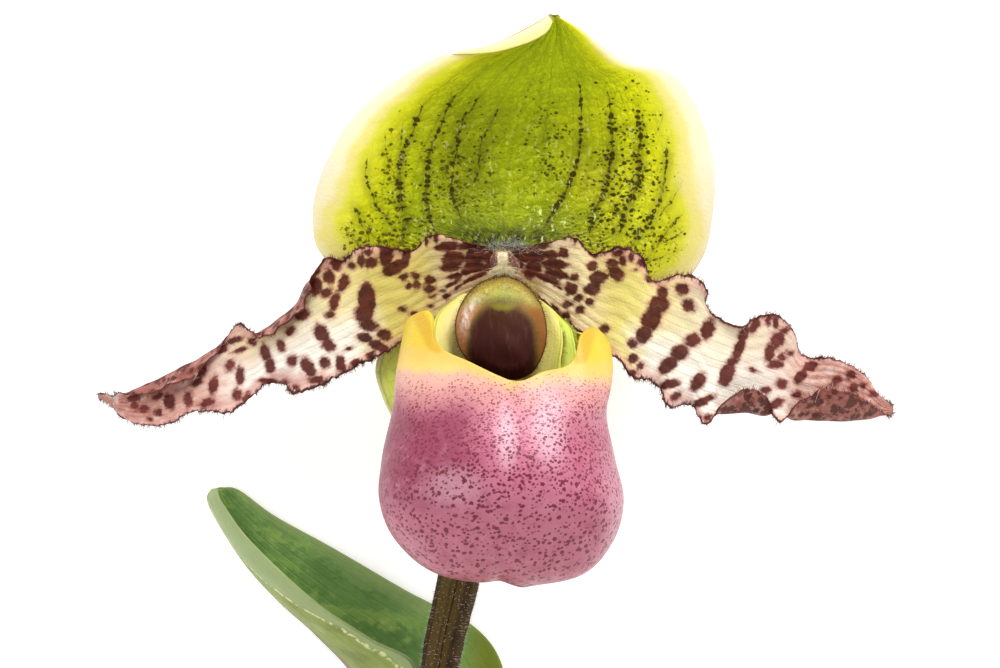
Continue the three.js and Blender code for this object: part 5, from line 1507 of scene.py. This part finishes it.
def leaf_material():
    p = Paint("leaf_skin")
    place, u, v, back = p.place(), p.field("u"), p.field("v"), p.field("back")
    aside = abs(v)
    spread = p.join(v * 2.2, u * 11.0)
    tessera = p.noise(p.add_places(spread, p.noise(place, 0.8, 3) * 0.9), 1.0, 4, 0.6)
    top = p.ramp(tessera, (0.3, "688f4e"), (0.46, "7ba25a"), (0.58, "98bb64"), (0.7, "b8d274"))
    lines = p.pingpong(v * 9.0)
    top = p.mix(p.step(lines, 0.1, 0.0) * 0.08, top, "3c5a2c")
    x = p.part(place, 0)
    # darker olive on the right part: its own olive colour with painted shade where it lies in shadow
    olive_and_shade_right = p.step(x, -5.0, -1.5) * p.step(tessera, 0.36, 0.56, 0.5, 1.0)
    top = p.mix(olive_and_shade_right * 0.9, top, "80880a")
    soft_edge = p.step(aside + p.wobble(0.3, place, 0.8, 3), 0.7, 1.0)
    top = p.mix(soft_edge * p.step(x, -4.0, -7.0, 0.1, 0.75), top, "a3b876")
    under = p.ramp(p.noise(spread, 1.3, 3), (0.3, "7c8a40"), (0.55, "92a052"), (0.75, "a8b470"))
    under = p.mix(p.step(lines, 0.15, 0.0) * 0.25, under, "6c7a3c")
    flush = p.step(aside, 0.34, 0.06) * p.step(u, 0.72, 0.5)
    under = p.mix(flush * 0.8, under, "6b3028")
    # a crinkle runs down the near half, from its outer edge to the fold, with a painted highlight along
    # it, and the band above it is paler
    crinkle = v - p.step(u, 0.56, 0.8, -0.86, -0.16)
    crinkle = crinkle + p.wobble(0.14, place, 1.1, 4)
    under = p.mix(p.step(crinkle, 0.05, -0.1) * 0.75, under, "a3b482")
    shine = p.step(abs(crinkle), 0.045, 0.01)
    shine = shine * p.step(p.noise(place, 2.2, 2), 0.4, 0.55)
    under = p.mix(shine * 0.85, under, "ece8b0")
    p.skin = p.mix(back, top, under)
    grain = p.noise(place, 2.2, 4, 0.6)
    rough = p.step(grain, 0.3, 0.7, 0.5, 0.36)
    height = grain - p.step(lines, 0.15, 0.0) * 0.3
    gloss = dict(TISSUE, Specular_IOR_Level=0.3, Specular_Tint=(0.9, 1.0, 0.6, 1.0))
    return p.finish(rough, height, 0.0002, 0.5, **gloss)


# ---- hairs -------------------------------------------------------------------------------------

def hair_material(name, root, tip):
    p = Paint(name)
    grain = p.noise(p.place(), 5.0, 3)
    p.skin = p.mix(grain, root, tip)
    return p.finish(p.step(grain, 0.3, 0.7, 0.55, 0.35), grain, 5e-05, 0.4, Subsurface_Weight=0.1,
                    Subsurface_Scale=0.0003, Specular_IOR_Level=0.2)


CILIA, CILIA_LENGTH, WHISKERS = 1000, 0.8, 26
OVARY_HAIRS, STEM_HAIRS, STALK_HAIR_LENGTH = 1500, 4200, 0.42
SHIELD_CILIA, SHIELD_FRINGE, SHIELD_DOWN = 420, 520, 1500
BASE_DOWN, LOBE_CILIA, COLUMN_DOWN, COLUMN_SKIRT = 210, 170, 700, 260
SUNK = 0.03             # how deep a root sits in what carries it
HAIR_FLOOR = FLOOR + 0.05


def tuft(name, material, roots, lean, *, lengths, bow, radius, sunk=0.0):
    """Hairs from roots along lean, with random lengths and bows, their roots sunk in a little."""
    count = len(roots)
    tips = roots + lean * random.uniform(*lengths, (count, 1))
    bows = bow * random.normal(size=(count, 3))
    hairs(name, material, roots - sunk, tips, bows, radius=radius)


def margin_hairs(name, net, outward, material):
    """Cilia along both margins of a petal, leaning away from it."""
    roots, tips, bows = [], [], []
    half = CILIA // 2
    for row, inner in ((0, 3), (-1, -4)):
        place = random.uniform(0.10, 0.995, half) * (len(net) - 1)
        start = place.astype(int)
        share = (place - start)[:, None]
        start = np.minimum(start, len(net) - 2)
        root = net[start, row] * (1 - share) + net[start + 1, row] * share
        out = unit(net[start, row] - net[start, inner])
        along = unit(net[start + 1, row] - net[start, row])
        size = (CILIA_LENGTH * (0.35 + 0.65 * random.uniform(size=half) ** 2))[:, None]
        lean = unit(out + 0.5 * random.normal(size=(half, 3)) + 0.3 * outward[start, row])
        roots.append(root - out * SUNK)
        tips.append(root + lean * size)
        bows.append(along * size * random.normal(size=(half, 1)) * 0.18)
    roots, tips, bows = (np.concatenate(group) for group in (roots, tips, bows))
    tips[:, 2] = np.maximum(tips[:, 2], HAIR_FLOOR)
    hairs(name, material, roots, tips, bows, radius=0.03)


def whiskers(name, net, outward, material):
    """A few long pale hairs that curl over the outer half of a petal."""
    start = (random.uniform(0.5, 0.97, WHISKERS) * (len(net) - 1)).astype(int)
    row = np.where(random.uniform(size=WHISKERS) < 0.5, 0, -1)
    root = net[start, row]
    inner = unit(net[start, len(net[0]) // 2] - root)
    lean = unit(outward[start, row] * 0.7 + 0.9 * random.normal(size=(WHISKERS, 3)) - 0.4 * inner)
    size = random.uniform(0.9, 2.2, (WHISKERS, 1))
    tips = root + lean * size
    tips[:, 2] = np.maximum(tips[:, 2], HAIR_FLOOR)
    bows = 0.35 * size * random.normal(size=(WHISKERS, 3))
    hairs(name, material, root, tips, bows, radius=0.018)


def stalk_hairs(node, body, across, count, material):
    """Down all round a stalk, from its points and the directions out of them."""
    rows, turns = body.shape[:2]
    i = random.integers(2, rows - 2, count)
    j = random.integers(0, turns, count)
    root, out = body[i, j], across[i, j]
    size = (STALK_HAIR_LENGTH * random.uniform(0.5, 1.2, count))[:, None]
    lean = unit(out + 0.35 * random.normal(size=(count, 3)))
    bows = 0.1 * size * random.normal(size=(count, 3))
    hairs(node + "_down", material, root - out * SUNK, root + lean * size, bows, radius=0.018)


def shield_hairs(front):
    """Cilia all round the shield, a dark fringe round its top and golden down on its top."""
    brown = hair_material("brown_hairs", "5a3c1a", "8a6a34")
    edge = front[-1]
    middle = edge.mean(axis=0)
    root = edge[random.integers(0, len(edge), SHIELD_CILIA)]
    out = unit(root - middle) + np.array((0, 0, 0.25))
    size = random.uniform(0.12, 0.42, (SHIELD_CILIA, 1))
    tips = root + unit(out + 0.35 * random.normal(size=(SHIELD_CILIA, 3))) * size
    bows = 0.05 * random.normal(size=(SHIELD_CILIA, 3)) * size
    hairs("shield_cilia", brown, root - out * SUNK, tips, bows, radius=0.018)

    dusk = hair_material("dusky_hairs", "2c1c0c", "6a4c22")
    crown = edge[drawn(edge)[1] > -4.5]
    pick = crown[random.integers(0, len(crown), SHIELD_FRINGE)]
    out = unit(pick - middle)
    root = pick - out * random.uniform(0.0, 0.9, (SHIELD_FRINGE, 1)) + np.array((0, 0, 0.15))
    lean = unit(out + 0.5 * random.normal(size=(SHIELD_FRINGE, 3)) + np.array((0, 0, 0.5)))
    tuft("shield_fringe", dusk, root, lean, lengths=(0.2, 0.5), bow=0.04, radius=0.020)

    gold = hair_material("gold_hairs", "a89a48", "ece4b4")
    top = front.reshape(-1, 3)
    top = top[drawn(top)[1] > -4.3]
    root = top[random.integers(0, len(top), SHIELD_DOWN)]
    lean = unit(np.array((0, 0.35, 0.8)) + 0.6 * random.normal(size=(SHIELD_DOWN, 3)))
    tuft("shield_down", gold, root, lean, lengths=(0.12, 0.32), bow=0.03, radius=0.011,
         sunk=lean * SUNK)


def base_hairs():
    """A grey tangle where the dorsal sepal and the petals meet."""
    grey = hair_material("grey_hairs", "7c786a", "efe9da")
    across = random.normal(size=BASE_DOWN) * 1.6
    up = 1.25 + random.uniform(-0.25, 0.6, BASE_DOWN) - 0.03 * across ** 2
    root = at(across, up, random.uniform(-1.0, -0.4, BASE_DOWN))
    lean = random.normal(size=(BASE_DOWN, 3)) * np.array((1.0, 0.35, 0.15)) + np.array((0, 0.1, 0.2))
    tuft("base_down", grey, root, unit(lean), lengths=(0.4, 1.4), bow=0.25,
         radius=0.015)


def lobe_hairs(lobes):
    """Short green cilia along the outer edge of each lobe."""
    green = hair_material("green_hairs", "b4b430", "e6e27a")
    for name, (net, outward) in lobes.items():
        pick = random.integers(2, len(net) - 16, LOBE_CILIA)
        root = net[pick, 0]
        out = unit(root - net[pick, 4]) + 0.3 * outward[pick, 0]
        lean = unit(out + 0.35 * random.normal(size=(LOBE_CILIA, 3)))
        tuft(name + "_cilia", green, root, lean, lengths=(0.15, 0.5), bow=0.03, radius=0.035)


def column_hairs(column):
    """Cream down on the middle of the knob and a skirt of hairs over the top of the shield."""
    cream = hair_material("cream_hairs", "ecd498", "fff2cc")
    knob = column[column[..., 2] > 0.8]
    knob = knob[np.abs(knob[:, 0] + 0.1) < 0.75]
    root = knob[random.integers(0, len(knob), COLUMN_DOWN)]
    out = unit(root - np.array((0, COLUMN_MIDDLE, 1.2)))
    lean = 0.6 * out + 0.3 * random.normal(size=(COLUMN_DOWN, 3)) + np.array((0, -0.2, 0.3))
    tuft("column_down", cream, root, unit(lean), lengths=(0.2, 0.6), bow=0.04,
         radius=0.014, sunk=out * SUNK)

    side = random.uniform(-1, 1, COLUMN_SKIRT)
    down = -0.8 - 0.2 * side ** 2 + random.uniform(-0.5, 0.3, COLUMN_SKIRT)
    root = at(-0.2 + 0.7 * side, down, 3.5)
    lean = np.stack((2.3 * side, -0.75 + 0 * side, 0.6 + 0 * side), axis=-1)
    lean = unit(lean + 0.2 * random.normal(size=(COLUMN_SKIRT, 3)))
    size = 0.5 + 1.2 * np.abs(side) * random.uniform(0.4, 1, COLUMN_SKIRT)
    bows = 0.06 * random.normal(size=(COLUMN_SKIRT, 3))
    hairs("column_skirt", cream, root, root + lean * size[:, None], bows, radius=0.016)


# ---- stage -------------------------------------------------------------------------------------

FLOOR_SIZE = 4.0         # half the floor's side, in metres
FLOOR_GLOW = 0.5
WORLD_LIGHT = 1.42
# The sky dims towards straight above, where the camera is: from and to how steep a direction, and
# the light there.
SKY_STEEP, SKY_LEVELS = (0.72, 0.93), (1.0, 0.12)
# Soft boxes: place and size in metres, and power in watts.
SOFTBOXES = {
    "key_softbox": ((0.20, 0.56, 0.34), (0.22, 0.34), 3.8),
    "fill_softbox": ((-0.24, -0.12, 0.58), (0.14, 0.14), 0.22),
    "rim_softbox": ((-0.40, 0.42, 0.44), (0.14, 0.14), 0.7),
}
LENS, SENSOR = 136.8, 36.0
NEAREST_SEEN = 0.01


def make_stage():
    height = CAD_BOX[0][2]
    mesh = bpy.data.meshes.new("floor")
    corners = [(x * FLOOR_SIZE, y * FLOOR_SIZE, height) for x, y in ((-1, -1), (1, -1), (1, 1), (-1, 1))]
    mesh.from_pydata(corners, [], [(0, 1, 2, 3)])
    floor = bpy.data.objects.new("floor", mesh)
    bpy.context.scene.collection.objects.link(floor)
    mesh.materials.append(floor_material())


def floor_material():
    p = Paint("floor_paper")
    grain = p.noise(p.node("ShaderNodeTexCoord", output=3), 900.0, 3)
    p.skin = p.mix(grain * 0.1, "f6f6f4", "ececea")
    glow = {"Emission_Color": (1.0, 1.0, 1.0, 1.0), "Emission_Strength": FLOOR_GLOW}
    return p.finish(p.step(grain, 0.3, 0.7, 0.9, 0.8), grain, 0.00002, 0.2, **glow)


def make_world():
    world = bpy.data.worlds.new("studio")
    bpy.context.scene.world = world
    world.use_nodes = True
    w = Nodes(world.node_tree)
    steep = w.part(w.node("ShaderNodeTexCoord"), 2)
    level = w.step(steep, *SKY_STEEP, *SKY_LEVELS) * WORLD_LIGHT
    sky = w.node("ShaderNodeBackground", {"Color": (1, 1, 1, 1), "Strength": level})
    w.fill("ShaderNodeOutputWorld", {"Surface": sky})


def make_lights():
    for name, (place, size, power) in SOFTBOXES.items():
        lamp = bpy.data.lights.new(name, "AREA")
        lamp.shape = "RECTANGLE"
        lamp.size, lamp.size_y = size
        lamp.energy = power
        light = bpy.data.objects.new(name, lamp)
        light.location = place
        ahead = Vector(HEART * MM) - Vector(place)
        light.rotation_euler = ahead.to_track_quat("-Z", "Y").to_euler()
        bpy.context.scene.collection.objects.link(light)


def make_camera():
    camera = bpy.data.cameras.new("camera")
    camera.lens, camera.sensor_width = LENS, SENSOR
    camera.clip_start = NEAREST_SEEN
    seat = bpy.data.objects.new("camera", camera)
    seat.location = to_frame(np.array((EYE_X, EYE_Y, EYE_HEIGHT)))
    bpy.context.scene.collection.objects.link(seat)
    bpy.context.scene.camera = seat
    bpy.context.scene.view_settings.view_transform = "Standard"


# ---- the flower --------------------------------------------------------------------------------

make_camera()
make_stage()
make_world()
make_lights()
make_dorsal_sepal()
make_synsepal()
petal_skin = petal_material()
petals = {
    "left_petal": make_petal("left_petal", LEFT_PETAL_ROWS, LEFT_BLOTCHES, petal_skin, seed=61),
    "right_petal": make_petal("right_petal", RIGHT_PETAL_ROWS, RIGHT_BLOTCHES, petal_skin, seed=71),
}
make_pouch()
lobes = {}
for name, (rows, seed, *colours) in LOBES.items():
    lobes[name] = make_lobe(name, rows, seed, lobe_material(name, *colours))
shield_front = make_shield()
column = make_column()
stigma_skin = pollen_material("stigma_skin", "dcd6a4", "b8b06c")
make_knob("stigma", STIGMA_MIDDLE, STIGMA_SIZE, stigma_skin, seed=81)
anther_skin = pollen_material("anther_skin", "a8923c", "6e5a1e")
for node, middle in ANTHER_MIDDLES.items():
    make_knob(node, middle, ANTHER_SIZE, anther_skin, seed=82)
ovary_skin = stem_material("ovary_skin", "3f2c18", "5f4c26", "74752e", length=30)
ovary = stalk("ovary", OVARY_LINE, OVARY_RADII, OVARY_STEPS, ovary_skin, ribs=6, rib_depth=0.05,
              seed=91)
stem_skin = stem_material("stem_skin", "20120b", "402c18", "5a481e", length=60)
stem = stalk("stem", STEM_LINE, STEM_RADII, STEM_STEPS, stem_skin, ribs=5, rib_depth=0.02,
             seed=92)
make_bract()
make_leaf()

dark_hairs = hair_material("dark_hairs", "4a1a18", "7c4038")
pale_hairs = hair_material("pale_hairs", "d8d2c0", "f4f0e6")
for name, (net, outward) in petals.items():
    margin_hairs(name + "_cilia", net, outward, dark_hairs)
    whiskers(name + "_whiskers", net, outward, pale_hairs)
stalk_hairs("ovary", *ovary, OVARY_HAIRS, pale_hairs)
stalk_hairs("stem", *stem, STEM_HAIRS, pale_hairs)
shield_hairs(shield_front)
base_hairs()
lobe_hairs(lobes)
column_hairs(column)
